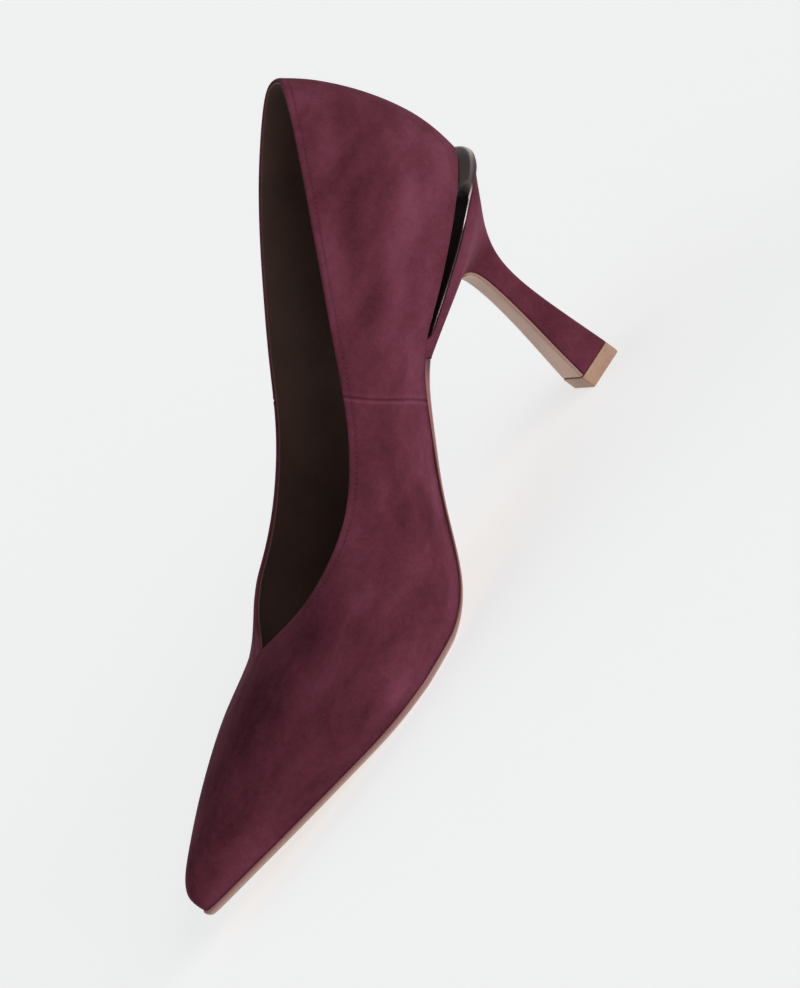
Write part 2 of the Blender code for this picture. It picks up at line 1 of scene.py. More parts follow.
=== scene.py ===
"""Finishes a pointed heeled shoe: suede, lining, stitches, sock, sole, polished plate and heel.

The file is laid out as an add-on for Blender 4.5 and is run as a script. Metres, +Z up, +X at the
toe, +Y at the inner (medial) side of the foot. Each operator makes one piece of the shoe.
"""
import math

import bmesh
import bpy
import numpy as np
from bpy.props import FloatProperty, FloatVectorProperty, PointerProperty
from mathutils import Matrix, Vector
from mathutils.kdtree import KDTree


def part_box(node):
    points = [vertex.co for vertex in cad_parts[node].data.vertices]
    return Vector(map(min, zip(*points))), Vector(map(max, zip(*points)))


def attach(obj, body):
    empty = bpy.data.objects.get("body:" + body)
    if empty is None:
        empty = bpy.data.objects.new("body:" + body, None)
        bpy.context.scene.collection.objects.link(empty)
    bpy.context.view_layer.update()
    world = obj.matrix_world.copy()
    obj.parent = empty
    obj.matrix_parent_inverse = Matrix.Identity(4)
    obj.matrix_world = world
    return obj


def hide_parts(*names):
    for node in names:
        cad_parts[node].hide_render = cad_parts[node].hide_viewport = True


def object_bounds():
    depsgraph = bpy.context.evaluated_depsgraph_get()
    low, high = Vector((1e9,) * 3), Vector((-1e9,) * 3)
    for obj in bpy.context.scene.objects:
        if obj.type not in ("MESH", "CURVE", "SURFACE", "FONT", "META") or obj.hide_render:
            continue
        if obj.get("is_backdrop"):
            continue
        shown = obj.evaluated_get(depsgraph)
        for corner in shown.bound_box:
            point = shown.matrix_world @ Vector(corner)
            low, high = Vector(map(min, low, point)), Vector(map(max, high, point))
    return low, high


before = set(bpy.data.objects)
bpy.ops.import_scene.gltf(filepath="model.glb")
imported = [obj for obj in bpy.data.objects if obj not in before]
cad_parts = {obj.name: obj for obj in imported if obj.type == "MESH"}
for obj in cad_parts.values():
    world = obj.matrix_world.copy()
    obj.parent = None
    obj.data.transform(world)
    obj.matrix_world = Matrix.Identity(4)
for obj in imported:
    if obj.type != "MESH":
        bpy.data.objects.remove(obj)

bl_info = {
    "name": "Heeled shoe finish",
    "version": (1, 0, 0),
    "blender": (4, 5, 0),
    "location": "3D View > Sidebar > Shoe",
    "description": "Makes the suede, lining, stitches, sole, plate, heel and stage of a heeled shoe",
    "category": "Mesh",
}

BODY = "root"
SIDES = (("medial", 1), ("lateral", -1))

# Main sizes of the last
SHOE_LENGTH = 0.2210
SEAT_OVERHANG = 0.0275
BALL_BREADTH = 0.0725
SEAT_BREADTH = 0.0470
HEEL_RISE = 0.0696
TOE_SPRING = 0.0076
COLLAR_RISE = 0.0535
THROAT_RISE = 0.0349
COLLAR_BREADTH = 0.0640

# Thicknesses and steps of the pieces
WALL = 0.0016
SUEDE = 0.0010
SUEDE_LINING_GAP = 0.00002
LINING_DROP = 0.00015
SOLE_THICKNESS = 0.0021
SOLE_PROUD = 0.0005
INSOLE_THICKNESS = 0.0022
TOP_PIECE_HEIGHT = 0.0045
TOP_PIECE_LENGTH = 0.0120
TOP_PIECE_BREADTH = 0.0168
PLATE_BACK_DEPTH = 0.0062
PLATE_LEG = 0.00035
PLATE_PROUD = 0.0017
SLOT_START = 0.0135
BREAST_COVER_THICKNESS = 0.0009
GAP = 0.0003
MM = 0.001

# Sections and stations that the pieces start and end at
LIP_STATION = 5.0
THROAT_ROW = 11
TOE_ROWS = 4
TOE_WALLS = 1.9
INSOLE_SHORT = 2 / 3

# The feather line, where upper and sole meet, a row for each section from the seat to the toe.
# run: share of SHOE_LENGTH. seat: 1 where breadths are shares of half SEAT_BREADTH, 0 of BALL_BREADTH.
# arch and spring: height of the sole's underside in shares of HEEL_RISE and TOE_SPRING.
FEATHER_COLUMNS = ("run", "seat", "medial", "lateral", "arch", "spring")
FEATHER_ROWS = (
    (0.000, 1, 0.000, 0.000, 1.000, 0.000),
    (0.018, 1, 0.404, 0.404, 0.984, 0.000),
    (0.063, 1, 0.757, 0.757, 0.938, 0.000),
    (0.128, 1, 0.962, 0.962, 0.865, 0.000),
    (0.198, 1, 1.000, 1.000, 0.783, 0.000),
    (0.268, 1, 0.962, 0.979, 0.687, 0.000),
    (0.338, 0, 0.607, 0.690, 0.500, 0.000),
    (0.409, 0, 0.648, 0.800, 0.285, 0.000),
    (0.479, 0, 0.759, 0.924, 0.075, 0.000),
    (0.549, 0, 0.900, 1.020, 0.000, 0.000),
    (0.619, 0, 0.972, 1.048, 0.000, 0.000),
    (0.689, 0, 0.920, 0.971, 0.000, 0.090),
    (0.759, 0, 0.761, 0.761, 0.000, 0.260),
    (0.829, 0, 0.585, 0.535, 0.000, 0.470),
    (0.890, 0, 0.425, 0.342, 0.000, 0.660),
    (0.945, 0, 0.273, 0.190, 0.000, 0.830),
    (0.978, 0, 0.177, 0.094, 0.000, 0.930),
    (0.995, 0, 0.110, 0.028, 0.000, 0.985),
    (1.000, 0, 0.041, -0.041, 0.000, 1.000),
)

# The top of each section: the topline at the back, and the ridge of the vamp after the throat.
# run: share of SHOE_LENGTH. medial, lateral: shares of half COLLAR_BREADTH.
# height: above the feather line, in shares of COLLAR_RISE where collar is 1, else of THROAT_RISE.
# medial_cut, lateral_cut: share of the section that is left below the topline.
TOP_COLUMNS = ("run", "medial", "lateral", "collar", "height", "medial_cut", "lateral_cut")
TOP_ROWS = (
    (0.066, 0.000, 0.000, 1, 1.000, 1.000, 1.000),
    (0.074, 0.190, 0.190, 1, 1.011, 1.000, 1.000),
    (0.104, 0.395, 0.395, 1, 0.980, 1.000, 1.000),
    (0.162, 0.620, 0.610, 1, 0.884, 1.000, 1.000),
    (0.227, 0.785, 0.750, 1, 0.765, 1.000, 1.000),
    (0.291, 0.890, 0.860, 1, 0.652, 1.000, 1.000),
    (0.355, 0.959, 0.931, 0, 1.019, 0.977, 0.982),
    (0.418, 0.938, 0.900, 0, 1.175, 0.893, 0.917),
    (0.489, 0.828, 0.803, 0, 1.362, 0.835, 0.880),
    (0.557, 0.625, 0.609, 0, 1.326, 0.812, 0.870),
    (0.625, 0.328, 0.350, 0, 1.136, 0.853, 0.898),
    (0.688, 0.087, -0.087, 0, 1.000, 1.000, 1.000),
    (0.759, 0.078, -0.078, 0, 0.911, 1.000, 1.000),
    (0.829, 0.069, -0.069, 0, 0.762, 1.000, 1.000),
    (0.890, 0.063, -0.063, 0, 0.599, 1.000, 1.000),
    (0.945, 0.056, -0.056, 0, 0.427, 1.000, 1.000),
    (0.978, 0.050, -0.050, 0, 0.307, 1.000, 1.000),
    (0.995, 0.047, -0.047, 0, 0.192, 1.000, 1.000),
    (1.000, 0.047, -0.047, 0, 0.080, 1.000, 1.000),
)

# How each section bows between its two ends.
# flare: degrees that the wall leans out at the feather line. fall: degrees that it drops from
# level at its top. turn: degrees that its top faces forwards. The reaches are shares of its span.
BOW_COLUMNS = ("flare", "foot_reach", "fall", "top_reach", "turn")
BOW_ROWS = (
    (8, 0.33, 56, 0.33, -90),
    (12, 0.33, 58, 0.33, -52),
    (18, 0.34, 64, 0.33, -28),
    (22, 0.35, 70, 0.34, -12),
    (24, 0.35, 72, 0.34, -5),
    (26, 0.36, 72, 0.35, 0),
    (28, 0.37, 69, 0.36, 0),
    (30, 0.35, 52, 0.35, 0),
    (32, 0.35, 37, 0.37, 0),
    (35, 0.38, 19, 0.40, 0),
    (39, 0.41, 6, 0.42, 0),
    (43, 0.43, 0, 0.43, 0),
    (43, 0.42, 0, 0.44, 0),
    (36, 0.40, 0, 0.46, 0),
    (30, 0.40, 0, 0.46, 0),
    (24, 0.38, 0, 0.45, 0),
    (18, 0.35, 0, 0.42, 0),
    (10, 0.33, 0, 0.35, 20),
    (0, 0.33, 60, 0.30, 90),
)

# Depth from the feather line down to the top of the heel, a row for each run along the seat.
# run: share of SHOE_LENGTH. depth: share of PLATE_BACK_DEPTH.
HEEL_TOP_COLUMNS = ("run", "depth")
HEEL_TOP_ROWS = (
    (0.000, 1.000),
    (0.060, 0.760),
    (0.125, 0.580),
    (0.160, 0.450),
    (0.200, 0.340),
    (0.240, 0.260),
    (0.300, 0.240),
)

# The heel's cross-sections, from its seat down to the top piece.
# back, front: distance behind and ahead of the middle of the top piece, in shares of
# SEAT_OVERHANG. back_height, front_height: shares of HEEL_RISE. breadth: share of half
# SEAT_BREADTH. seat_form: 1 has the outline of the seat, 0 that of the stem.
HEEL_COLUMNS = ("back", "back_height", "front", "front_height", "breadth", "seat_form")
HEEL_ROWS = (
    (0.890, 0.900, 1.105, 0.706, 1.030, 1.00),
    (0.755, 0.850, 0.980, 0.711, 0.900, 0.85),
    (0.590, 0.790, 0.665, 0.735, 0.680, 0.55),
    (0.458, 0.728, 0.290, 0.747, 0.490, 0.25),
    (0.350, 0.650, 0.015, 0.708, 0.360, 0.05),
    (0.285, 0.540, -0.032, 0.580, 0.285, 0.00),
    (0.262, 0.390, 0.026, 0.395, 0.280, 0.00),
    (0.263, 0.215, 0.108, 0.215, 0.310, 0.00),
)

# How far the heel's foot reaches back past the top piece's half length, how far its seat stands out
# at the back, how its points crowd towards the back, and the steps of a ring: a side, and the front.
# Then the rings of the heel, of its wing's upper part and of the top piece, places on their rounded
# edges as shares of the way round, and the share of the rounding that is left beside the plate.
FOOT_FLARE = 0.0013
HEEL_PROUD = 0.0009
HEEL_CROWDING = 1.7
RING_STEPS = (44, 12)
HEEL_RINGS = 90
SEAT_RINGS = 6
SEAT_EASE_SHARES = (0.0, 0.35, 0.7)
COVERED_EASE = 0.3
TOP_PIECE_EASE_SHARES = (0.0, 0.25, 0.5, 0.75, 1.0)
TOP_PIECE_RINGS = 8

# The breast cover: the row of the heel's table that it starts at, the rows over which its top is
# round, its breadth as a share of the heel's, and its distance from the heel
COVER_ROW = 3.4
COVER_ROUND_ROWS = 0.5
COVER_BREADTH = 0.94
COVER_GAP = 0.0001

# Its rows on the round top and below it, its steps across, the least breadth of its top and of its
# face as shares of its breadth, and how far each level is finished as a cut edge
COVER_STEPS = (16, 60)
COVER_ACROSS = 12
COVER_LEAST_TOP = 0.02
COVER_LEAST_FACE = 0.2
COVER_EDGE_LEVELS = (1.0, 1.0, 0.6, 0.0)

# The round back of the stem, as a share of its depth, and how square its corners are: first high
# up on the stem, then at its foot. They change below STEM_SQUARE_BELOW, a share of HEEL_RISE.
STEM_ROUND = (0.32, 0.13)
STEM_SQUARENESS = (3.0, 3.6)
STEM_SQUARE_BELOW = 0.62

# The band round the back of the plate. BAND_STATIONS: the station where it has run out.
# BAND_BULGE: how far it stands out at even steps down its height, in shares of PLATE_PROUD.
# BAND_OVERLAP: how far it reaches down over the heel, all of it from BAND_OVERLAP_RUN behind the
# slot. SLOT_LEAST: how high the slot is at its front end, the fork.
BAND_STATIONS = 3.0
BAND_BULGE = (0.10, 0.88, 1.34, 1.50, 1.30, 0.70)
BAND_OVERLAP = 0.0010
BAND_OVERLAP_RUN = 0.012
SLOT_LEAST = 0.00045

# Columns of the plate behind the slot, along it and ahead of it, how the first ones crowd towards
# the back, rows of a leg, cells down the slot, and steps from one side wall to the other
PLATE_COLUMNS = (26, 70, 10)
PLATE_CROWDING = 1.2
LEG_ROWS = 7
SLOT_CELLS = 11
PLATE_ACROSS = 10

# Share of the slot's station from which the columns behind it begin to follow its round end
ROUND_END_START = 0.35

# Shares of the way across the slot between which its inside is painted in shade, how dark it is, and
# how dark the painted shade on the columns behind its round end is, from the end backwards
SLOT_SHADE_SHARES = (0.01, 0.99)
SLOT_SHADE = 0.75
SLOT_END_SHADES = (1.0, 0.95, 0.8, 0.5)

# The band's painted shade and highlight: how dark the painted shade on its lower half is, from which
# share of its height to which it darkens, how far behind the slot this starts and over which run, and
# how bright the painted highlight on its backmost part is
BAND_SHADE = 0.85
BAND_SHADE_SHARES = (0.5, 0.85)
BAND_SHADE_START = 0.001
BAND_SHADE_RUN = 0.003
BAND_LIGHT = 0.4
BAND_LIGHT_RUN = 0.0035

# How far the plate's upper and lower leg are set in from the seat's outline, ahead of the band
LEG_RECESS = (0.0024, 0.0004)

# Painted highlight and painted shade on the rim of the lower leg: run ahead of the slot's back end,
# and how bright the painted highlight is, or how dark the painted shade where that is below 0
RIM_LIGHT = ((-0.0045, 0.0), (-0.0022, 1.0), (0.0060, 1.0), (0.0090, -0.85), (0.0240, -0.85),
             (0.0320, 0.30), (0.0380, 0.45))

# The sole's edge at a station: depth of its upright part, and width of the bevel below it
SOLE_COLUMNS = ("station", "edge", "bevel")
SOLE_ROWS = (
    (5.0, 0.0019, 0.0010),
    (5.4, 0.0013, 0.0018),
    (5.9, 0.0009, 0.0024),
    (6.6, 0.0006, 0.0028),
    (8.2, 0.0006, 0.0032),
    (9.2, 0.0010, 0.0028),
    (10.0, 0.0014, 0.0025),
    (12.0, 0.0010, 0.0024),
    (15.5, 0.0010, 0.0016),
    (18.0, 0.0011, 0.0008),
)
SOLE_TOP_GAP = 0.00005

# The station from which the sole's columns are closer together, their number before and after it,
# and the sole's steps across
SOLE_TOE = 16
SOLE_COLUMN_STEPS = (120, 40)
SOLE_ACROSS = 16

# Radii of the sole's upper edge and of the breast cover's edges, as shares of the edge round, and
# how far in the middle of such an edge lies, as a share of its radius
SOLE_EASE = 0.5
COVER_EASE = 0.6
HALFWAY_ROUND = 0.3

# The sole's back end: how many stations it runs into the wing, how far it is set in there, and over
# how many stations its edge takes on its own colour and comes out to its full breadth
LIP_LAP = 0.06
LIP_INSET = 0.0003
LIP_WRAP = 0.45
LIP_RUN = 1.2

# The sole's profile below its upright part: shares of the bevel, and the power that rounds it. Then
# at each level of the profile how much of the suede's dye it has, and how far it is finished like
# the underside
BEVEL_SHARES = (0.06, 0.3, 0.6, 0.9, 1.0)
BEVEL_CURVE = 0.8
DYE_LEVELS = (1, 1, 1, 1, 0.75, 0.15, 0, 0, 0, 0, 0)
UNDER_LEVELS = (0, 0, 0, 0, 0, 0, 0, 0.1, 0.4, 0.8, 1.0)

# The waist's edge is dyed all over, up to this station, and the dye fades over so many stations
DYE_END = 8.8
DYE_FADE = 2

# The run over which the heel's suede rises past the fork to cover the plate, how far the plate is
# set in there, and how far the suede laps over it
PLATE_COVER_RUN = 0.0035
PLATE_COVER_INSET = 0.0012
PLATE_COVER_LAP = 0.0002

# The sock: how far its middle rises, how far its edge sinks and over which run, the stations at its
# back over which it comes out to its full breadth, its columns before and after station 1, its
# steps across, and the shares of a section among which its height is looked up
SOCK_CROWN = 0.0005
SOCK_SINK = 0.0004
SOCK_SINK_RUN = 0.0008
SOCK_BACK = 0.4
SOCK_COLUMNS = (14, 120)
SOCK_ACROSS = 24
SOCK_SEARCH_SHARES = np.linspace(0.0, 0.3, 60)

# Radius of the heel's front corners, which are sharp on the wing and round on the stem, and the
# places of the points on such a corner, in radii from its end
CORNER_ROUND = 0.0007
CORNER_SHARP = 0.2
CORNER_PLACES = np.geomspace(0.3, 0.002, 8)

# Where the side seams run: the station at the feather line and at the topline, and the distances in
# stations from their middle up to which columns follow them wholly, and from which not at all
SEAM_FOOT = 5.60
SEAM_TOP = 6.40
SEAM_MIDDLE = (SEAM_FOOT + SEAM_TOP) / 2
SEAM_STRAIGHT = 0.3
SEAM_FADE = 2.2

# How far the suede swells above the stitches and beside the seams, as a share of how far it sinks
# there. Place and breadth of the swelling and of the painted highlight on the fold beside a seam, in
# its widths, and breadth of the grooves of seams and stitches, in seam widths and in threads
RIM_SWELL = 0.35
SEAM_SWELL = 0.40
SEAM_LIP = (3.2, 1.8)
FOLD_LIP = (3.4, 2.0)
GROOVE_BREADTH = 1.1

# How dark the painted shade in the seams and along the line of stitches is, and how light the
# painted highlight on the fold ahead of and behind a seam
SEAM_SHADE = 0.42
STITCH_SHADE = 0.28
FOLD_LIGHT = (0.50, 0.28)

# Columns of the upper, closer together at the back, the seam, the throat and the toe:
# first station, last station, steps
COLUMN_STRETCHES = (
    (0.0, 1.0, 18),
    (1.0, 5.4, 40),
    (5.4, 5.84, 14),
    (5.84, 6.16, 36),
    (6.16, 6.6, 14),
    (6.6, 10.4, 38),
    (10.4, 10.8, 14),
    (10.8, 11.3, 32),
    (11.3, 11.7, 14),
    (11.7, 16.0, 42),
    (16.0, 18.0, 36),
)

# Rows of the upper in millimetres: up from the feather line, and down from the topline
FOOT_ROWS_MM = (0.0, 0.10, 0.25, 0.45, 0.75, 1.2)
RIM_ROWS_MM = (6.5, 5.2, 4.2, 3.5, 3.1, 2.85, 2.65, 2.5, 2.35, 2.2, 2.0, 1.75,
               1.4, 1.1, 0.85, 0.65, 0.5, 0.38, 0.27, 0.17, 0.09, 0.04, 0.0)
INNER_RIM_ROWS_MM = (2.0, 1.0, 0.5, 0.32, 0.18, 0.08, 0.0)
LINING_RIM_ROWS_MM = (2.6, 1.4, 0.85, 0.55, 0.42, 0.32, 0.24, 0.18, 0.15)
BODY_ROWS = 28
INNER_BODY_ROWS = 14
LOOKUP_STEPS = 40
FORK_STEPS = 400
FINE_SHARES = 140
MERGE = 0.000004
TINY = 1e-9

# Degrees from which an edge stays sharp
USUAL_SMOOTH_ANGLE = 60.0
SMOOTH_ANGLES = {
    "outsole_leather": 50.0,
    "heel_plate_polished": 38.0,
    "heel_cover": 50.0,
    "breast_cover_leather": 45.0,
    "top_piece_block": 40.0,
}

# The most of a column's height that the foot rows take up, and the stations past the throat after
# which the rows begin to spread out evenly, and that they take to do so
FOOT_MOST = 1 / 8
EVEN_START = 0.3
EVEN_RUN = 3.0

# Soft troughs and ridges of the upper: side (1 medial, -1 lateral), station and
# share that the line starts at, station and share that it ends at, width and depth in millimetres.
# A negative depth is a ridge.
CREASES = (
    (1, 1.6, 0.62, 4.6, 0.60, 5.0, 0.16),
    (1, 1.4, 0.40, 5.0, 0.36, 3.2, -0.12),
    (1, 2.2, 0.20, 5.3, 0.18, 3.0, 0.08),
    (1, 6.8, 0.55, 8.0, 0.40, 4.0, 0.12),
    (1, 8.6, 0.30, 9.2, 0.62, 4.2, 0.14),
    (1, 9.9, 0.18, 10.5, 0.70, 5.0, 0.10),
    (1, 6.5, 0.10, 9.6, 0.10, 4.2, 0.65),
    (-1, 6.5, 0.10, 9.6, 0.10, 4.2, 0.50),
    (1, 0.0, 0.32, 0.0, 0.78, 16.0, -0.95),
    (-1, 9.6, 0.95, 11.0, 0.95, 9.0, -0.90),
    (-1, 1.8, 0.55, 4.4, 0.52, 5.0, 0.15),
    (-1, 1.2, 0.34, 4.8, 0.30, 3.6, -0.10),
    (-1, 6.9, 0.45, 8.2, 0.38, 4.0, 0.12),
    (-1, 8.7, 0.28, 9.3, 0.64, 4.2, 0.14),
    (-1, 10.0, 0.18, 10.5, 0.66, 5.0, 0.10),
)
CREASE_STEPS = 36

# Patches of painted light and painted shade on the suede: side, station and share of the middle,
# reach in stations and in shares, and how light, or dark where that is below 0.
PAINTED_LIGHT_PATCHES = (
    (1, 2.4, 0.74, 1.5, 0.10, -0.35),
    (1, 3.1, 0.58, 0.9, 0.09, 0.25),
    (1, 2.9, 0.36, 1.7, 0.08, 0.55),
    (1, 2.2, 0.24, 1.2, 0.12, 0.55),
    (1, 4.1, 0.82, 0.6, 0.08, 0.65),
    (1, 1.2, 0.14, 0.9, 0.16, 0.50),
    (1, 1.3, 0.86, 1.0, 0.10, -0.15),
    (1, 4.4, 0.30, 0.9, 0.07, 0.40),
    (1, 5.0, 0.14, 0.5, 0.09, -0.40),
    (1, 4.9, 0.60, 0.7, 0.12, -0.25),
    (1, 6.9, 0.60, 1.0, 0.34, -0.45),
    (1, 7.2, 0.07, 1.5, 0.08, 0.75),
    (1, 9.2, 0.84, 0.6, 0.14, 0.15),
    (1, 10.2, 0.80, 0.5, 0.14, -0.45),
    (1, 10.55, 0.12, 0.42, 0.08, 0.80),
    (1, 11.3, 0.09, 0.60, 0.07, 0.35),
    (1, 1.9, 0.80, 0.9, 0.08, 0.70),
    (1, 2.3, 0.56, 0.9, 0.13, -0.35),
    (1, 2.8, 0.30, 0.5, 0.07, 0.60),
    (1, 3.8, 0.12, 0.8, 0.09, 0.80),
    (1, 3.9, 0.42, 0.6, 0.06, 0.65),
    (1, 3.4, 0.67, 0.8, 0.10, -0.40),
    (1, 4.3, 0.93, 0.6, 0.08, 0.85),
    (1, 5.0, 0.17, 0.5, 0.07, 0.90),
    (1, 6.0, 0.06, 1.0, 0.06, 0.60),
    (1, 6.9, 0.19, 0.8, 0.08, 0.60),
    (1, 7.3, 0.60, 0.6, 0.11, -0.65),
    (1, 8.0, 0.84, 0.5, 0.12, -0.80),
    (1, 8.7, 0.34, 0.5, 0.20, -0.40),
    (1, 9.5, 0.66, 0.4, 0.07, 0.80),
    (1, 11.0, 0.18, 0.5, 0.12, -0.50),
    (1, 12.4, 0.64, 1.0, 0.09, -0.60),
    (1, 12.5, 0.93, 1.0, 0.09, 0.55),
    (1, 15.3, 0.45, 0.9, 0.45, -0.80),
    (1, 15.5, 0.88, 0.6, 0.14, -0.50),
    (1, 16.9, 0.68, 0.8, 0.25, -0.55),
    (1, 11.4, 0.36, 0.5, 0.12, -0.35),
    (1, 11.7, 0.84, 1.1, 0.20, -0.95),
    (1, 13.6, 0.86, 1.7, 0.26, -1.05),
    (1, 16.6, 0.84, 0.8, 0.24, -0.45),
    (1, 16.2, 0.48, 1.8, 0.26, -0.40),
    (1, 13.2, 0.42, 1.2, 0.16, -0.50),
    (1, 14.3, 0.52, 1.0, 0.20, -0.40),
    (1, 15.9, 0.20, 0.6, 0.14, 0.30),
    (-1, 3.0, 0.55, 2.2, 0.16, -0.50),
    (-1, 3.4, 0.28, 2.0, 0.09, 0.45),
    (-1, 7.2, 0.20, 1.4, 0.12, 0.35),
    (-1, 9.9, 0.16, 0.6, 0.09, 0.70),
    (-1, 11.0, 0.60, 1.4, 0.20, -0.35),
    (-1, 13.0, 0.30, 1.4, 0.18, 0.25),
)

# Painted light and painted shade on the heel, in the same way: place forward as a share of
# SEAT_OVERHANG, height as a share of HEEL_RISE, reach in each, and how light.
HEEL_PAINTED_LIGHT_PATCHES = (
    (-0.10, 0.82, 0.60, 0.07, 0.95),
    (0.60, 0.74, 0.50, 0.06, 0.30),
    (-0.19, 0.68, 0.30, 0.07, -0.45),
    (-0.05, 0.42, 0.25, 0.12, 0.20),
    (-0.15, 0.10, 0.50, 0.14, 0.15),
)

# The stitches: degrees that they tilt by at most, the seed of their tilts, and how far the thread's
# middle stands out of the suede, as a share of its thickness. Then their node tree:
# its inputs, its nodes with their settings, the values of inputs that nothing is linked to, and the
# links, each from the output of one node to the input of another.
STITCH_TILT = 4.0
STITCH_SEED = 7
THREAD_RAISED = 0.30
STITCH_INPUTS = {
    "Geometry": "NodeSocketGeometry",
    "Pitch": "NodeSocketFloat",
    "Length": "NodeSocketFloat",
    "Thickness": "NodeSocketFloat",
    "Tilt": "NodeSocketFloat",
    "Seed": "NodeSocketInt",
    "Material": "NodeSocketMaterial",
}
STITCH_NODES = {
    "given": ("NodeGroupInput", {}),
    "curve": ("GeometryNodeMeshToCurve", {}),
    "spaced": ("GeometryNodeResampleCurve", {"mode": "LENGTH"}),
    "along": ("GeometryNodeInputTangent", {}),
    "facing": ("GeometryNodeInputNamedAttribute", {"data_type": "FLOAT_VECTOR"}),
    "aim": ("FunctionNodeAlignRotationToVector", {"axis": "X"}),
    "lay": ("FunctionNodeAlignRotationToVector", {"axis": "Z", "pivot_axis": "X"}),
    "back": ("ShaderNodeMath", {"operation": "MULTIPLY"}),
    "chance": ("FunctionNodeRandomValue", {"data_type": "FLOAT"}),
    "angle": ("FunctionNodeAxisAngleToRotation", {}),
    "tilted": ("FunctionNodeRotateRotation", {"rotation_space": "LOCAL"}),
    "bead": ("GeometryNodeMeshUVSphere", {}),
    "size": ("ShaderNodeCombineXYZ", {}),
    "stitch": ("GeometryNodeTransform", {}),
    "placed": ("GeometryNodeInstanceOnPoints", {}),
    "real": ("GeometryNodeRealizeInstances", {}),
    "smooth": ("GeometryNodeSetShadeSmooth", {}),
    "painted": ("GeometryNodeSetMaterial", {}),
    "result": ("NodeGroupOutput", {}),
}
STITCH_VALUES = (
    ("facing", "Name", "facing"),
    ("back", 1, -1.0),
    ("angle", "Axis", (0, 0, 1)),
    ("bead", "Segments", 8),
    ("bead", "Rings", 7),
    ("bead", "Radius", 0.5),
)
STITCH_LINKS = (
    ("given", "Geometry", "curve", "Mesh"),
    ("curve", "Curve", "spaced", "Curve"),
    ("given", "Pitch", "spaced", "Length"),
    ("along", "Tangent", "aim", "Vector"),
    ("aim", "Rotation", "lay", "Rotation"),
    ("facing", "Attribute", "lay", "Vector"),
    ("given", "Tilt", "back", 0),
    ("back", 0, "chance", "Min"),
    ("given", "Tilt", "chance", "Max"),
    ("given", "Seed", "chance", "Seed"),
    ("chance", "Value", "angle", "Angle"),
    ("lay", "Rotation", "tilted", "Rotation"),
    ("angle", "Rotation", "tilted", "Rotate By"),
    ("given", "Length", "size", "X"),
    ("given", "Thickness", "size", "Y"),
    ("given", "Thickness", "size", "Z"),
    ("bead", "Mesh", "stitch", "Geometry"),
    ("size", "Vector", "stitch", "Scale"),
    ("spaced", "Curve", "placed", "Points"),
    ("stitch", "Geometry", "placed", "Instance"),
    ("tilted", "Rotation", "placed", "Rotation"),
    ("placed", "Instances", "real", "Geometry"),
    ("real", "Geometry", "smooth", "Geometry"),
    ("smooth", "Geometry", "painted", "Geometry"),
    ("given", "Material", "painted", "Material"),
    ("painted", "Geometry", "result", "Geometry"),
)

# The camera, fitted to the photograph: degrees round from the medial side towards the toe, degrees
# above level and degrees of roll, then pixels of the photograph. The image is the photograph
# enlarged about FRAME_MIDDLE.
CAMERA_TURN = 11.7
CAMERA_RISE = 14.8
CAMERA_ROLL = 53.8
CAMERA_DISTANCE = 4.0
PIXELS_PER_METRE = 1720.0
ORIGIN_PIXEL = (729.87, 547.0)
FRAME_MIDDLE = (633.5, 607.5)
ENLARGED = 2.05
IMAGE_HEIGHT = 988
FLOOR_REACH = 14.0

# The soft lights: name, direction that each stands in, and its breadth in degrees. Then the colour
# of the even light all round.
LIGHTS = (
    ("key", (-0.40, 0.90, 0.14), 50),
    ("fill", (0.38, -0.88, 0.24), 60),
    ("top", (0.05, -0.10, 1.0), 70),
)
SKY_COLOUR = (0.96, 0.98, 1.0, 1.0)


def length_property(name, description, default, least):
    """A length in metres that can be set in the sidebar."""
    return FloatProperty(name=name, description=description, default=default, min=least,
                         unit="LENGTH")


def colour_property(name, description, *default):
    """A linear colour that can be set in the sidebar."""
    return FloatVectorProperty(name=name, description=description, default=default,
                               subtype="COLOR", size=3, min=0, max=1)


def share_property(name, description, default, most=1.0):
    """A share or a strength that can be set in the sidebar."""
    return FloatProperty(name=name, description=description, default=default, min=0.0, max=most)


class ShoeSizes(bpy.types.PropertyGroup):
    """Sizes of the finish that a maker would change."""

    rim_round: length_property(
        "Rim round", "How far below the topline the folded edge is round", 0.0006, 0.0002)
    lining_round: length_property(
        "Lining round", "How far below its edge the lining is round", 0.0003, 0.0001)
    stitch_inset: length_property(
        "Stitch inset", "Distance of the stitches below the topline", 0.0020, 0.0008)
    stitch_pitch: length_property(
        "Stitch pitch", "Distance from one stitch to the next", 0.0015, 0.0008)
    stitch_length: length_property(
        "Stitch length", "Length of thread that shows in one stitch", 0.0010, 0.0004)
    thread: length_property(
        "Thread", "Thickness of the sewing thread", 0.00025, 0.0001)
    stitch_sink: length_property(
        "Stitch sink", "How deep the stitches pull the suede in", 0.00014, 0.0)
    seam_depth: length_property(
        "Seam depth", "Depth of the groove where vamp and quarter are joined", 0.00022, 0.0)
    seam_width: length_property(
        "Seam width", "Half the width of that groove", 0.00026, 0.00005)
    foot_round: length_property(
        "Foot round", "Radius where the suede turns under above the sole", 0.00020, 0.0001)
    edge_round: length_property(
        "Edge round", "Radius on the edges of sole, heel and top piece", 0.00030, 0.00005)
    plate_ease: length_property(
        "Plate ease", "Rounding on the edges of the polished plate", 0.00014, 0.00002)
    crease_strength: share_property(
        "Crease strength", "Share of the soft troughs and ridges that shows", 1.0, 3.0)


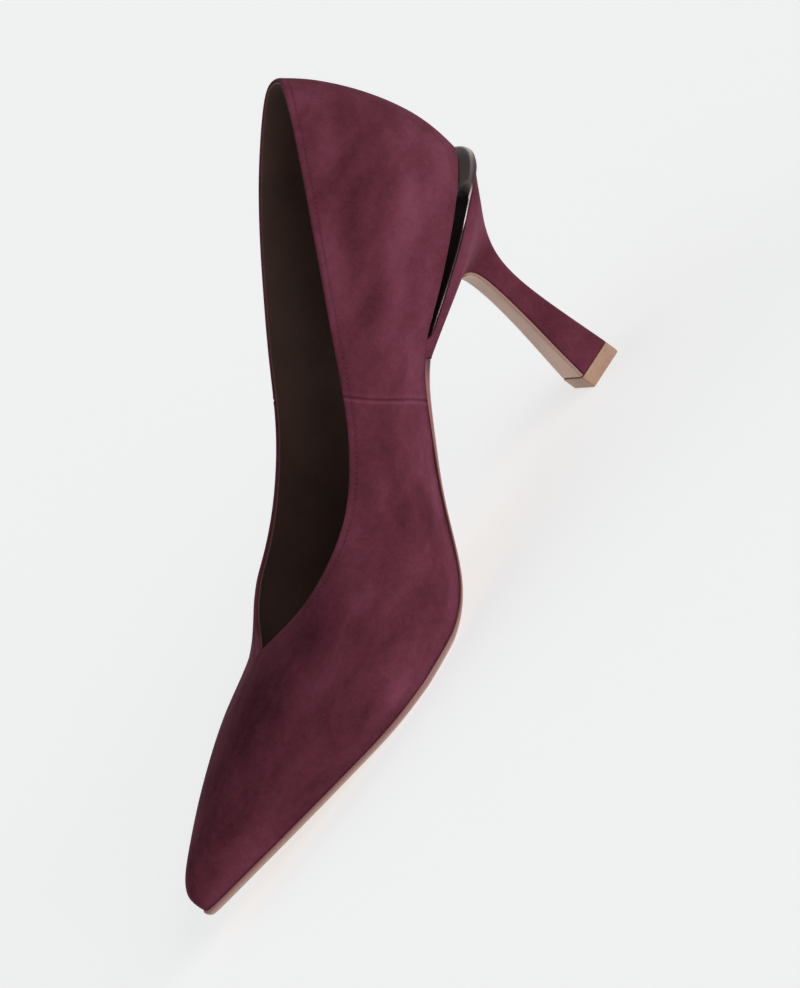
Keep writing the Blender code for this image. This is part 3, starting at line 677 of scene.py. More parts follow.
class ShoeColours(bpy.types.PropertyGroup):
    """Colours of the finishes, as linear values."""

    # suede is the middle tone, suede_light and suede_dark the lighter and darker tones. Random mottle
    # moves between them, and so do the painted light and painted shade of the patches, seams and
    # stitches.
    suede: colour_property(
        "Suede", "Suede where the nap lies level", 0.118, 0.027, 0.044)
    suede_light: colour_property(
        "Suede, light", "Suede brushed towards the light", 0.190, 0.053, 0.086)
    suede_dark: colour_property(
        "Suede, dark", "Suede brushed away from the light", 0.046, 0.010, 0.016)
    thread: colour_property(
        "Thread", "Sewing thread of the topline", 0.120, 0.032, 0.049)
    lining: colour_property(
        "Lining", "Leather lining of the upper", 0.095, 0.052, 0.040)
    sock: colour_property(
        "Sock", "Leather sock that the foot stands on", 0.130, 0.074, 0.056)
    sole_edge: colour_property(
        "Sole edge", "Edge of the leather sole", 0.380, 0.225, 0.185)
    sole_leather: colour_property(
        "Sole leather", "Underside of the sole", 0.430, 0.270, 0.180)
    sole_dye: colour_property(
        "Sole dye", "Dye of the suede that has run into the sole's edge", 0.270, 0.110, 0.104)
    plate: colour_property(
        "Plate", "Polished gunmetal", 0.230, 0.180, 0.172)
    # Painted highlight: the colour that the plate turns to along the lower leg's rim and on the band's
    # back
    plate_painted_highlight: colour_property(
        "Plate rim", "Bright cut rim of the plate beside its slot", 0.800, 0.620, 0.640)
    breast: colour_property(
        "Breast", "Leather facing on the front of the heel", 0.580, 0.370, 0.262)
    breast_edge: colour_property(
        "Breast edge", "Cut edge of that leather", 0.340, 0.180, 0.140)
    top_piece: colour_property(
        "Top piece", "Block that the heel stands on", 0.420, 0.245, 0.168)


class StageSettings(bpy.types.PropertyGroup):
    """The floor and the soft studio light."""

    backdrop: colour_property(
        "Backdrop", "Colour that the floor and the wall behind it show", 0.863, 0.871, 0.871)
    floor_share: share_property(
        "Floor share", "Share of the falling light that the floor gives back", 0.45)
    floor_glow: share_property(
        "Floor glow", "Share of the backdrop that the floor shows by itself", 0.75)
    key_strength: share_property(
        "Key strength", "Strength of the low soft light beside the camera", 2.5, 20.0)
    fill_strength: share_property(
        "Fill strength", "Strength of the weaker light on the toe's side", 0.8, 20.0)
    top_strength: share_property(
        "Top strength", "Strength of the light overhead", 0.35, 20.0)
    sky_strength: share_property(
        "Sky strength", "Strength of the even light all round", 0.18, 20.0)


def table(columns, rows):
    """The columns of a table as arrays, by name."""
    return dict(zip(columns, np.array(rows, float).T))


def smooth_step(share):
    """Rises from 0 to 1 with no corner at either end."""
    share = np.clip(share, 0, 1)
    return share * share * (3 - 2 * share)


def bell(distance):
    """1 in the middle, falling softly to 0 on both sides."""
    return np.exp(-distance ** 2)


def blend(ends, share):
    """A value some share of the way from the first of two to the second."""
    return ends[0] + (ends[1] - ends[0]) * share


def between(first, last, shares):
    """Rows of points that lead from the points of one row to those of another."""
    return first[:, None] * (1 - shares[None, :, None]) + last[:, None] * shares[None, :, None]


def add_attribute(mesh, name, values):
    """Stores a number or a direction for each point of a mesh."""
    kind, field = ("FLOAT_VECTOR", "vector") if values.ndim == 2 else ("FLOAT", "value")
    layer = mesh.attributes.new(name, kind, "POINT")
    layer.data.foreach_set(field, values.astype(np.float32).ravel())


def in_scene(name, data):
    """An object of some data, linked to the scene."""
    made = bpy.data.objects.new(name, data)
    bpy.context.scene.collection.objects.link(made)
    return made


def spline(points, closed=False):
    """A smooth curve through points that lie a whole step apart, as a function of the step."""
    points = np.asarray(points, float)
    count = len(points)
    pull = np.zeros((count, count))
    drive = np.zeros_like(points)
    for i in range(count):
        before, after = (i - 1) % count, (i + 1) % count
        if closed or 0 < i < count - 1:
            pull[i, before] += 1.0
            pull[i, i] += 4.0
            pull[i, after] += 1.0
            drive[i] = 3.0 * (points[after] - points[before])
        else:
            beside = 1 if i == 0 else count - 2
            pull[i, i] = 2.0
            pull[i, beside] = 1.0
            drive[i] = 3.0 * (points[max(i, beside)] - points[min(i, beside)])
    slopes = np.linalg.solve(pull, drive)

    def at(steps):
        steps = np.asarray(steps, float)
        last = count if closed else count - 1
        start = np.clip(np.floor(steps).astype(int), 0, last - 1)
        t = (steps - start)[..., None]
        here, there = start % count, (start + 1) % count
        return (points[here] * (1 + 2 * t) * (1 - t) ** 2 + slopes[here] * t * (1 - t) ** 2
                + points[there] * t * t * (3 - 2 * t) + slopes[there] * t * t * (t - 1))

    return at


def ring_of(medial, lateral):
    """Joins a medial and a lateral row of points into one ring, back to toe and back again."""
    return np.concatenate([medial, lateral[-2:0:-1]])


class Last:
    """The form that the shoe is built on. A turn is a place on its ring: the station on the
    medial side, and twice the toe's station less the station on the lateral side."""

    def __init__(self):
        self.toe = len(FEATHER_ROWS) - 1
        self.round = 2 * self.toe
        rows = table(FEATHER_COLUMNS, FEATHER_ROWS)
        breadth = rows["seat"] * SEAT_BREADTH / 2 + (1 - rows["seat"]) * BALL_BREADTH / 2
        under = rows["arch"] * HEEL_RISE + rows["spring"] * TOE_SPRING
        x = rows["run"] * SHOE_LENGTH - SEAT_OVERHANG
        feather = {side: np.stack([x, sign * breadth * rows[side], under], axis=1)
                   for side, sign in SIDES}
        self.feather_ring = spline(ring_of(feather["medial"], feather["lateral"]), closed=True)
        self.build_tops(under)
        self.build_bows(feather)

    def build_tops(self, under):
        """The line along the tops of the sections, and where the topline is cut below it."""
        base = under + SOLE_THICKNESS + GAP
        tops = table(TOP_COLUMNS, TOP_ROWS)
        rise = tops["collar"] * COLLAR_RISE + (1 - tops["collar"]) * THROAT_RISE
        z = base + rise * tops["height"]
        x = tops["run"] * SHOE_LENGTH - SEAT_OVERHANG
        self.top_rows = {side: np.stack([x, sign * COLLAR_BREADTH / 2 * tops[side], z], axis=1)
                         for side, sign in SIDES}
        medial, lateral = self.top_rows["medial"], self.top_rows["lateral"]
        self.top_line = spline(np.concatenate([lateral[:0:-1], medial]))
        before = slice(0, THROAT_ROW + 1)
        cuts = np.concatenate([tops["lateral_cut"][before][:0:-1], tops["medial_cut"][before]])
        self.cut_line = spline(cuts[:, None])

    def build_bows(self, feather):
        """The handles that bow each section between the feather line and its top."""
        bow = table(BOW_COLUMNS, BOW_ROWS)
        flare, fall, turn = (np.radians(bow[name]) for name in ("flare", "fall", "turn"))
        feet, tops = {}, {}
        for side, sign in SIDES:
            foot = feather[side] + (0, 0, SOLE_THICKNESS + GAP)
            span = np.linalg.norm(self.top_rows[side] - foot, axis=1)
            stations = np.arange(self.toe + 1)
            out = self.outward(stations if sign > 0 else (self.round - stations) % self.round)
            reach = (span * bow["foot_reach"])[:, None]
            feet[side] = reach * (out * np.sin(flare)[:, None])
            feet[side][:, 2] = reach[:, 0] * np.cos(flare)
            reach = span * bow["top_reach"]
            level = reach * np.cos(fall)
            tops[side] = np.stack([level * np.sin(turn), sign * level * np.cos(turn),
                                   -reach * np.sin(fall)], axis=1)
        self.foot_bow = spline(ring_of(feet["medial"], feet["lateral"]), closed=True)
        self.top_bow = spline(ring_of(tops["medial"], tops["lateral"]), closed=True)

    def side(self, turn):
        """1 on the medial side and -1 on the lateral side."""
        return np.where(np.asarray(turn) <= self.toe, 1.0, -1.0)

    def station(self, turn):
        """How far along its side a turn lies."""
        turn = np.asarray(turn, float)
        return np.minimum(turn, self.round - turn)

    def turn_of(self, station, side):
        """The turn of a station on one side."""
        station = np.asarray(station, float)
        return np.where(np.asarray(side) > 0, station, self.round - station) % self.round

    def underside(self, turn):
        """The feather line dropped to the sole's underside, which is flat where it treads."""
        place = self.feather_ring(np.asarray(turn, float) % self.round)
        place[..., 2] = np.maximum(place[..., 2], 0.0)
        return place

    def outward(self, turn):
        """The level direction out of the feather line, which is the left side of its ring."""
        nudge = 0.01
        turn = np.asarray(turn, float)
        along = (self.feather_ring((turn + nudge) % self.round)
                 - self.feather_ring((turn - nudge) % self.round))
        out = np.stack([-along[..., 1], along[..., 0], np.zeros(along.shape[:-1])], axis=-1)
        return out / np.linalg.norm(out, axis=-1, keepdims=True)

    def feather(self, turn, proud=0.0):
        """The feather line at the upper's lower edge, moved out by proud."""
        place = self.underside(turn)
        place[..., 2] += SOLE_THICKNESS + GAP
        return place + self.outward(turn) * np.asarray(proud)[..., None]

    def top(self, turn):
        """The top of a section. Past the throat both sides meet on the ridge of the vamp."""
        station, side = self.station(turn), self.side(turn)
        own = self.top_line(self.toe + side * station)
        other = self.top_line(self.toe - side * station)
        return np.where((station < THROAT_ROW)[..., None], own, (own + other) / 2)

    def cut(self, turn):
        """The share of a section that the topline leaves."""
        place = THROAT_ROW + self.side(turn) * np.minimum(self.station(turn), THROAT_ROW)
        return np.minimum(self.cut_line(place)[..., 0], 1.0)

    def section(self, turn, share):
        """A point of the upper's outer face, share of the way from its foot to its edge."""
        turn = np.asarray(turn, float) % self.round
        foot, top = self.feather(turn), self.top(turn)
        foot_handle = foot + self.foot_bow(turn)
        top_handle = top + self.top_bow(turn)
        t = (np.asarray(share, float) * self.cut(turn))[..., None]
        return (foot * (1 - t) ** 3 + 3 * foot_handle * t * (1 - t) ** 2
                + 3 * top_handle * t * t * (1 - t) + top * t ** 3)

    def normal(self, turn, share):
        """The direction out of the upper's outer face."""
        nudge = 0.02
        along = self.section(turn + nudge, share) - self.section(turn - nudge, share)
        rise = (self.section(turn, np.minimum(share + nudge, 1))
                - self.section(turn, np.maximum(share - nudge, 0)))
        normal = np.cross(rise, along)
        length = np.linalg.norm(normal, axis=-1, keepdims=True)
        return normal / np.maximum(length, 1e-12)

    def half_breadth(self, station):
        """Half the distance across the feather line."""
        medial = self.underside(self.turn_of(station, 1))
        lateral = self.underside(self.turn_of(station, -1))
        return (medial[..., 1] - lateral[..., 1]) / 2

    def station_at(self, x):
        """The station whose feather line lies at x."""
        stations = np.linspace(0, self.toe, LOOKUP_STEPS * self.toe)
        return np.interp(x, self.underside(stations)[:, 0], stations)

    def toe_station(self, depth):
        """The last station where the shoe is still depth wide on each side of its middle."""
        stations = np.linspace(THROAT_ROW, self.toe, LOOKUP_STEPS * (self.toe - THROAT_ROW))
        return stations[self.half_breadth(stations) >= depth][-1]

    def height_at(self, x):
        """Height of the feather line at x."""
        return self.feather(self.station_at(x))[..., 2]

    def heel_top(self, x):
        """Height of the top of the heel at x, below the feather line by the plate's depth."""
        rows = table(HEEL_TOP_COLUMNS, HEEL_TOP_ROWS)
        run, depth = rows["run"] * SHOE_LENGTH - SEAT_OVERHANG, rows["depth"] * PLATE_BACK_DEPTH
        return self.height_at(x) - np.interp(x, run, depth)

    def inner_turn(self, turn):
        """Turns of the inner faces, drawn in so that they end where the toe is two walls wide."""
        station = self.station(turn)
        start, end = self.toe - TOE_ROWS, self.toe_station(TOE_WALLS * WALL)
        late = start + (station - start) * (end - start) / TOE_ROWS
        return self.turn_of(np.where(station > start, late, station), self.side(turn))


LAST = Last()


def seam_at(share):
    """The station of a side seam, some share of the way up from the feather line."""
    return blend((SEAM_FOOT, SEAM_TOP), share)


def column_turns():
    """The turns of the upper's columns, right round the shoe."""
    parts = [np.linspace(first, end, steps + 1)[:-1] for first, end, steps in COLUMN_STRETCHES]
    stations = np.concatenate(parts + [[float(LAST.toe)]])
    return np.concatenate([stations, LAST.round - stations[-2:0:-1]])


def leaned(turns, shares):
    """Turns leaned to follow the side seams, for a row of turns and a grid of shares."""
    turns = np.broadcast_to(turns[:, None], shares.shape)
    station, side = LAST.station(turns), LAST.side(turns)
    away = np.abs(station - SEAM_MIDDLE)
    ease = smooth_step((SEAM_FADE - away) / (SEAM_FADE - SEAM_STRAIGHT))
    return LAST.turn_of(station + ease * (seam_at(shares) - SEAM_MIDDLE), side)


def tree_of(points):
    """A search tree over a list of points."""
    tree = KDTree(len(points))
    for i, point in enumerate(points):
        tree.insert(point, i)
    tree.balance()
    return tree


def distances(points, tree):
    """Distance of each point of a grid to the nearest point of a search tree."""
    flat = points.reshape(-1, 3)
    found = [tree.find(point)[2] for point in flat]
    return np.array(found).reshape(points.shape[:-1])


def topline_points(steps=2400):
    """Points close together along the topline, round both sides."""
    stations = np.linspace(0, THROAT_ROW, steps)
    rows = [LAST.section(LAST.turn_of(stations, side), np.ones(steps)) for side in (1, -1)]
    return np.concatenate(rows)


def seam_points(steps=700):
    """Points close together along both side seams."""
    shares = np.linspace(0, 1, steps)
    rows = [LAST.section(LAST.turn_of(seam_at(shares), side), shares) for side in (1, -1)]
    return np.concatenate(rows)


class Rows:
    """Works out the shares of the upper's rows from distances above its foot and below its rim."""

    def __init__(self, turns):
        self.turns = turns
        self.topline = tree_of(topline_points())
        self.seams = tree_of(seam_points())
        fine = np.linspace(0, 1, FINE_SHARES)
        self.fine = np.broadcast_to(fine, (len(turns), FINE_SHARES))
        points = LAST.section(leaned(turns, self.fine), self.fine)
        steps = np.linalg.norm(np.diff(points, axis=1), axis=2)
        self.climbed = np.concatenate([np.zeros((len(turns), 1)), np.cumsum(steps, axis=1)], axis=1)
        self.below = distances(points, self.topline)
        self.open = LAST.station(turns) <= THROAT_ROW

    def share_up(self, distance):
        """Share at a distance above the foot, for each column."""
        distance = np.minimum(distance, self.climbed[:, -1] * FOOT_MOST)
        return np.array([np.interp(d, up, self.fine[0]) for d, up in zip(distance, self.climbed)])

    def share_below(self, distance):
        """Share at a distance below the topline, for each column; 1 where the ridge is further."""
        found = np.ones(len(self.turns))
        for i, below in enumerate(self.below):
            far = np.nonzero(below >= distance)[0]
            if len(far) == 0 or far[-1] == FINE_SHARES - 1:
                continue
            near, next_one = far[-1], far[-1] + 1
            gone = (below[near] - distance) / (below[near] - below[next_one])
            found[i] = self.fine[0, near] + gone * (self.fine[0, next_one] - self.fine[0, near])
        return found

    def shares(self, foot_rows, body_rows, rim_rows):
        """A grid of shares: foot rows, evenly spread body rows, and rim rows. Past the throat
        the rim rows spread out evenly again."""
        station = LAST.station(self.turns)
        tip = np.argmin(np.abs(station - THROAT_ROW))
        foot = [self.share_up(np.full(len(self.turns), d * MM)) for d in foot_rows]
        rim = []
        for d in rim_rows:
            share = self.share_below(d * MM)
            rim.append(np.where(self.open, share, share[tip]))
        body = [foot[-1] + (rim[0] - foot[-1]) * k / (body_rows + 1) for k in range(1, body_rows + 1)]
        grid = np.stack(foot + body + rim, axis=1)
        even = np.linspace(0, 1, grid.shape[1])[None]
        ease = smooth_step((station - THROAT_ROW - EVEN_START) / EVEN_RUN)[:, None]
        return grid * (1 - ease) + even * ease


def quads(grid, flip=False, closed=False):
    """Faces of a grid of vertex numbers, rows of which follow one another round a ring if closed."""
    near = grid if closed else grid[:-1]
    far = np.roll(grid, -1, axis=0) if closed else grid[1:]
    faces = np.stack([near[:, :-1], near[:, 1:], far[:, 1:], far[:, :-1]], axis=-1).reshape(-1, 4)
    return faces[:, ::-1] if flip else faces


def build(name, points, faces, look, attributes=None):
    """One object from points and faces, with its doubles merged and its faces turned out."""
    mesh = bpy.data.meshes.new(name)
    mesh.from_pydata([tuple(p) for p in points], [], [tuple(int(i) for i in f) for f in faces])
    for label, values in (attributes or {}).items():
        add_attribute(mesh, label, values)
    bm = bmesh.new()
    bm.from_mesh(mesh)
    bmesh.ops.remove_doubles(bm, verts=bm.verts, dist=MERGE)
    bmesh.ops.dissolve_degenerate(bm, edges=bm.edges, dist=MERGE / 4)
    bmesh.ops.recalc_face_normals(bm, faces=bm.faces)
    bm.to_mesh(mesh)
    bm.free()
    mesh.shade_smooth()
    mesh.set_sharp_from_angle(angle=math.radians(SMOOTH_ANGLES.get(name, USUAL_SMOOTH_ANGLE)))
    mesh.materials.append(look)
    return in_scene(name, mesh)


def wear(made, slot, *nodes):
    """Puts a finished piece on the shoe's body, in place of the nodes that it stands for."""
    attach(made, BODY)
    if nodes:
        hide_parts(*nodes)


def check_box(made, node, slack=0.0016):
    """Stops if a piece has strayed from the node that it stands for."""
    co = np.array([v.co for v in made.data.vertices])
    low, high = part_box(node)
    off = max(np.abs(co.min(0) - np.array(low)).max(), np.abs(co.max(0) - np.array(high)).max())
    if off > slack:
        raise RuntimeError(f"{made.name} is {off * 1000:.2f} mm off the node {node}")
    print(made.name, "triangles", sum(len(p.vertices) - 2 for p in made.data.polygons),
          "off by mm", round(off * 1000, 2))


def wall_shell(name, look, front, back, open_top, attributes=None):
    """A closed wall from two grids of points, joined at the foot and along the open topline."""
    columns, count = front.shape[:2]
    back_count = back.shape[1]
    points = np.concatenate([front.reshape(-1, 3), back.reshape(-1, 3)])
    outer = np.arange(columns * count).reshape(columns, count)
    inner = columns * count + np.arange(columns * back_count).reshape(columns, back_count)
    faces = [quads(outer, closed=True), quads(inner, closed=True, flip=True)]
    faces.append(quads(np.stack([inner[:, 0], outer[:, 0]], axis=1), closed=True))
    rim = quads(np.stack([outer[:, -1], inner[:, -1]], axis=1), closed=True)
    faces.append(rim[open_top | np.roll(open_top, -1)])
    return build(name, points, np.concatenate(faces), look, attributes)


def meet_on_ridge(grid, merged):
    """Moves the top row of the columns past the throat onto the middle line of both sides."""
    other = (-np.arange(len(grid))) % len(grid)
    middle = (grid[:, -1] + grid[other, -1]) / 2
    grid[merged, -1] = middle[merged]
    return grid


def rim_round(below, reach, depth):
    """How far a face is drawn in near the topline, so that the edge is round."""
    short = np.clip(1 - below / reach, 0, 1)
    return depth * (1 - np.sqrt(np.maximum(1 - short ** 2, 0)))


def line_distance(points, side, start, end):
    """Distance from a grid of points to a line on one side, between two stations and shares."""
    along = np.linspace(0, 1, CREASE_STEPS)
    stations, shares = (blend(ends, along) for ends in zip(start, end))
    line = LAST.section(LAST.turn_of(stations, side), shares)
    flat = points.reshape(-1, 3)
    nearest = np.full(len(flat), np.inf)
    for place in line:
        nearest = np.minimum(nearest, ((flat - place) ** 2).sum(axis=1))
    return np.sqrt(nearest).reshape(points.shape[:-1])


def crease_depth(points):
    """Depth of the soft troughs and ridges at each point."""
    depth = np.zeros(points.shape[:-1])
    for side, *line, width, deep in CREASES:
        away = line_distance(points, side, line[:2], line[2:])
        depth += deep * MM * bell(away / (width * MM))
    return depth


def painted_light_of(turns, shares):
    """Painted light and painted shade at each vertex of the suede, from the table of patches."""
    station, side = LAST.station(turns), LAST.side(turns)
    light = np.zeros(shares.shape)
    over_ridge = smooth_step(station - THROAT_ROW)
    for wanted, middle, share, station_reach, share_reach, strength in PAINTED_LIGHT_PATCHES:
        along = bell((station - middle) / station_reach)
        here = bell((shares - share) / share_reach)
        beyond = bell((2 - shares - share) / share_reach) * over_ridge
        light += strength * along * np.where(side == wanted, here, beyond)
    return light


def face_depth(points, rows, sizes):
    """Depth of everything that is pressed into the suede's face: rim, stitches, seams, creases."""
    below = distances(points, rows.topline)
    beside = distances(points, rows.seams)
    depth = rim_round(below, sizes.rim_round, SUEDE / 2)
    past_stitches = (below - sizes.stitch_inset) / sizes.thread
    depth += sizes.stitch_sink * bell(past_stitches / GROOVE_BREADTH)
    above_stitches = (below - sizes.stitch_inset / 2) / sizes.stitch_inset * 4
    depth -= RIM_SWELL * sizes.stitch_sink * bell(above_stitches)
    near_seam = beside / sizes.seam_width
    lip, breadth = SEAM_LIP
    depth += sizes.seam_depth * bell(near_seam)
    depth -= SEAM_SWELL * sizes.seam_depth * bell((near_seam - lip) / breadth)
    return depth + sizes.crease_strength * crease_depth(points), below, beside


def groove_shade(turns, shares, below, beside, sizes):
    """Painted shade in seams and stitch line, and a painted highlight on the fold beside each seam."""
    near_seam = beside / sizes.seam_width
    shade = SEAM_SHADE * bell(near_seam / GROOVE_BREADTH)
    ahead = LAST.station(turns) > seam_at(shares)
    lip, breadth = FOLD_LIP
    shade -= np.where(ahead, *FOLD_LIGHT) * bell((near_seam - lip) / breadth)
    return shade + STITCH_SHADE * bell((below - sizes.stitch_inset) / sizes.thread)


def foot_depth(rows, shares, radius):
    """How far the face is drawn in just above the sole."""
    up = np.stack([np.interp(share, rows.fine[0], climbed)
                   for share, climbed in zip(shares, rows.climbed)])
    return rim_round(up, radius, radius)


def inner_face(rows, shares, depth, merged):
    """A grid on the inner side of the wall, drawn in at the toe."""
    turns = LAST.inner_turn(leaned(rows.turns, shares))
    grid = LAST.section(turns, shares) - LAST.normal(turns, shares) * depth[..., None]
    grid[:, 0] = LAST.feather(turns[:, 0], -depth[:, 0])
    return meet_on_ridge(grid, merged)


def make_suede(context):
    """The suede of vamp and quarters: one wall with a folded rim and grooved side seams."""
    sizes = context.scene.shoe_sizes
    rows = Rows(column_turns())
    beyond = LAST.station(rows.turns) >= THROAT_ROW - TINY
    shares = rows.shares(FOOT_ROWS_MM, BODY_ROWS, RIM_ROWS_MM)
    turns = leaned(rows.turns, shares)
    face = LAST.section(turns, shares)
    depth, below, beside = face_depth(face, rows, sizes)
    depth += foot_depth(rows, shares, sizes.foot_round)
    outer = meet_on_ridge(face - LAST.normal(turns, shares) * depth[..., None], beyond)
    inner_shares = rows.shares(FOOT_ROWS_MM[:1], INNER_BODY_ROWS, INNER_RIM_ROWS_MM)
    inner_face_points = LAST.section(leaned(rows.turns, inner_shares), inner_shares)
    inner_below = distances(inner_face_points, rows.topline)
    inner_depth = SUEDE - rim_round(inner_below, sizes.rim_round, SUEDE / 2)
    inner_depth += sizes.crease_strength * crease_depth(inner_face_points)
    inner = inner_face(rows, inner_shares, inner_depth, beyond)
    # Painted light and painted shade from the table of patches
    nap = painted_light_of(turns, shares)
    # Painted shade in the seams and along the stitches, and a painted highlight beside each seam
    groove = groove_shade(turns, shares, below, beside, sizes)
    blank = np.zeros(inner_depth.size)
    attributes = {"nap": np.concatenate([nap.ravel(), blank]),
                  "groove": np.concatenate([groove.ravel(), blank])}
    look = suede("suede", context.scene.shoe_colours)
    made = wall_shell("vamp_and_quarters", look, outer, inner, ~beyond, attributes)
    check_box(made, "upper")
    wear(made, "suede", "upper")
    return rows


def make_lining(context, rows):
    """The leather lining on the inside of the wall, with its edge just below the suede's."""
    trims = [rows.share_below(d * MM) for d in LINING_RIM_ROWS_MM]
    body = [trims[0] * k / INNER_BODY_ROWS for k in range(INNER_BODY_ROWS)]
    shares = np.stack(body + trims, axis=1)
    open_top = trims[-1] < 1 - TINY
    points = LAST.section(leaned(rows.turns, shares), shares)
    below = distances(points, rows.topline) - LINING_DROP
    behind = SUEDE + SUEDE_LINING_GAP
    pressed = context.scene.shoe_sizes.crease_strength * crease_depth(points)
    rounded = rim_round(below, context.scene.shoe_sizes.lining_round, (WALL - behind) / 2)
    front = inner_face(rows, shares, WALL + pressed - rounded, ~open_top)
    back = inner_face(rows, shares, behind + pressed + rounded, ~open_top)
    look = leather("lining", context.scene.shoe_colours.lining, roughness=0.72, grain=1400.0)
    wear(wall_shell("lining", look, back, front, open_top), "lining", "upper")


def stitch_path(rows, sizes):
    """Points and outward directions round the topline, where the thread shows."""
    share = rows.share_below(sizes.stitch_inset)
    station = LAST.station(rows.turns)
    used = (share < 1 - TINY) | (station < THROAT_ROW)
    order = np.nonzero(used)[0]
    turns = leaned(rows.turns[order], share[order][:, None])[:, 0]
    face = LAST.section(turns, share[order])
    out = LAST.normal(turns, share[order])
    depth, _, _ = face_depth(face[:, None], rows, sizes)
    return face - out * (depth[:, 0] - THREAD_RAISED * sizes.thread)[:, None], out


def path_object(name, points, out):
    """A closed line of edges that carries the outward direction at each point."""
    mesh = bpy.data.meshes.new(name)
    edges = [(i, (i + 1) % len(points)) for i in range(len(points))]
    mesh.from_pydata([tuple(p) for p in points], edges, [])
    add_attribute(mesh, "facing", out)
    return in_scene(name, mesh)


def stitch_tree():
    """Geometry Nodes that set one stitch at every pitch along a line, lying on the surface."""
    tree = bpy.data.node_groups.new("Topline stitches", "GeometryNodeTree")
    tree.is_modifier = True
    sockets = {label: tree.interface.new_socket(label, in_out="INPUT", socket_type=kind)
               for label, kind in STITCH_INPUTS.items()}
    tree.interface.new_socket("Geometry", in_out="OUTPUT", socket_type="NodeSocketGeometry")
    nodes = {}
    for name, (kind, settings) in STITCH_NODES.items():
        nodes[name] = tree.nodes.new(kind)
        for setting, value in settings.items():
            setattr(nodes[name], setting, value)
    for name, label, value in STITCH_VALUES:
        nodes[name].inputs[label].default_value = value
    for source, output, target, label in STITCH_LINKS:
        tree.links.new(nodes[source].outputs[output], nodes[target].inputs[label])
    return tree, sockets


def make_stitches(context, rows):
    """The row of stitches below the topline, in thread of the suede's own colour."""
    sizes = context.scene.shoe_sizes
    points, out = stitch_path(rows, sizes)
    guide = path_object("stitch_guide", points, out)
    tree, sockets = stitch_tree()
    modifier = guide.modifiers.new("stitches", "NODES")
    modifier.node_group = tree
    thread = thread_look(context.scene.shoe_colours.thread)
    values = {"Pitch": sizes.stitch_pitch, "Length": sizes.stitch_length,
              "Thickness": sizes.thread, "Tilt": math.radians(STITCH_TILT),
              "Seed": STITCH_SEED, "Material": thread}
    for label, value in values.items():
        modifier[sockets[label].identifier] = value
    evaluated = guide.evaluated_get(context.evaluated_depsgraph_get())
    mesh = bpy.data.meshes.new_from_object(evaluated)
    mesh.name = "topline_stitches"
    guide.modifiers.remove(modifier)
    bpy.data.objects.remove(guide)
    wear(in_scene("topline_stitches", mesh), "suede")


def slab(levels):
    """Points and faces of a closed solid from levels of ribs, each rib a row across the shoe."""
    shape = np.array(levels[0]).shape[:2]
    count = shape[0] * shape[1]
    points = np.concatenate([np.array(level).reshape(-1, 3) for level in levels])
    grid = np.arange(count).reshape(shape)
    faces = [quads(grid), quads(grid + count * (len(levels) - 1), flip=True)]
    rim = np.concatenate([grid[:, 0], grid[-1, 1:], grid[-2::-1, -1], grid[0, -2:0:-1]])
    for k in range(len(levels) - 1):
        pair = np.stack([rim + count * k, rim + count * (k + 1)], axis=1)
        faces.append(quads(pair, closed=True))
    return points, np.concatenate(faces)


def ribs(stations, proud, drop, across):
    """Rows of points from the medial to the lateral feather line, moved out and down."""
    proud = np.broadcast_to(proud, len(stations))
    edges = [LAST.feather(LAST.turn_of(stations, side), proud) for side in (1, -1)]
    rows = between(*edges, np.linspace(0, 1, across + 1))
    rows[..., 2] -= np.broadcast_to(drop, len(stations))[:, None]
    return rows


def sock_edge(stations, side, height):
    """Where the lining stands at a height above the feather line."""
    turns = LAST.turn_of(stations, side)
    shares = SOCK_SEARCH_SHARES
    grid_turns = np.broadcast_to(turns[:, None], (len(turns), len(shares)))
    grid_shares = np.broadcast_to(shares, grid_turns.shape)
    face = (LAST.section(grid_turns, grid_shares)
            - LAST.normal(grid_turns, grid_shares) * (WALL + GAP / 2))
    base = LAST.feather(turns)[:, 2] + height
    places = []
    for row, level in zip(face, base):
        share = np.interp(level, row[:, 2], shares)
        places.append([np.interp(share, shares, row[:, k]) for k in range(3)])
    return np.array(places)


def make_sock(context):
    """The leather sock inside the shoe, rising a little in its middle."""
    start, end = LAST.toe - TOE_ROWS, LAST.toe_station(TOE_WALLS * WALL)
    last_station = end - INSOLE_SHORT * (end - start) / TOE_ROWS
    back_steps, long_steps = SOCK_COLUMNS
    stations = np.concatenate([np.linspace(0, 1, back_steps)[:-1],
                               np.linspace(1, last_station, long_steps)])
    across = np.linspace(0, 1, SOCK_ACROSS + 1)
    edges = [sock_edge(stations, side, INSOLE_THICKNESS) for side in (1, -1)]
    middle = (edges[0] + edges[1]) / 2
    inset = np.minimum(1.0, stations / SOCK_BACK)[:, None]
    medial, lateral = (middle + (edge - middle) * inset for edge in edges)
    top = between(medial, lateral, across)
    inward = 1 - np.abs(2 * across - 1)
    half = np.linalg.norm(medial - lateral, axis=1)[:, None] / 2
    top[..., 2] += SOCK_CROWN * (1 - (1 - inward) ** 2)
    top[..., 2] -= SOCK_SINK * np.exp(-inward * half / SOCK_SINK_RUN)
    bottom = ribs(stations, -(WALL + GAP), 0.0, SOCK_ACROSS)
    points, faces = slab([top, bottom])
    look = leather("sock_leather", context.scene.shoe_colours.sock, roughness=0.5, grain=1100.0)
    wear(build("sock", points, faces, look), "lining", "insole")


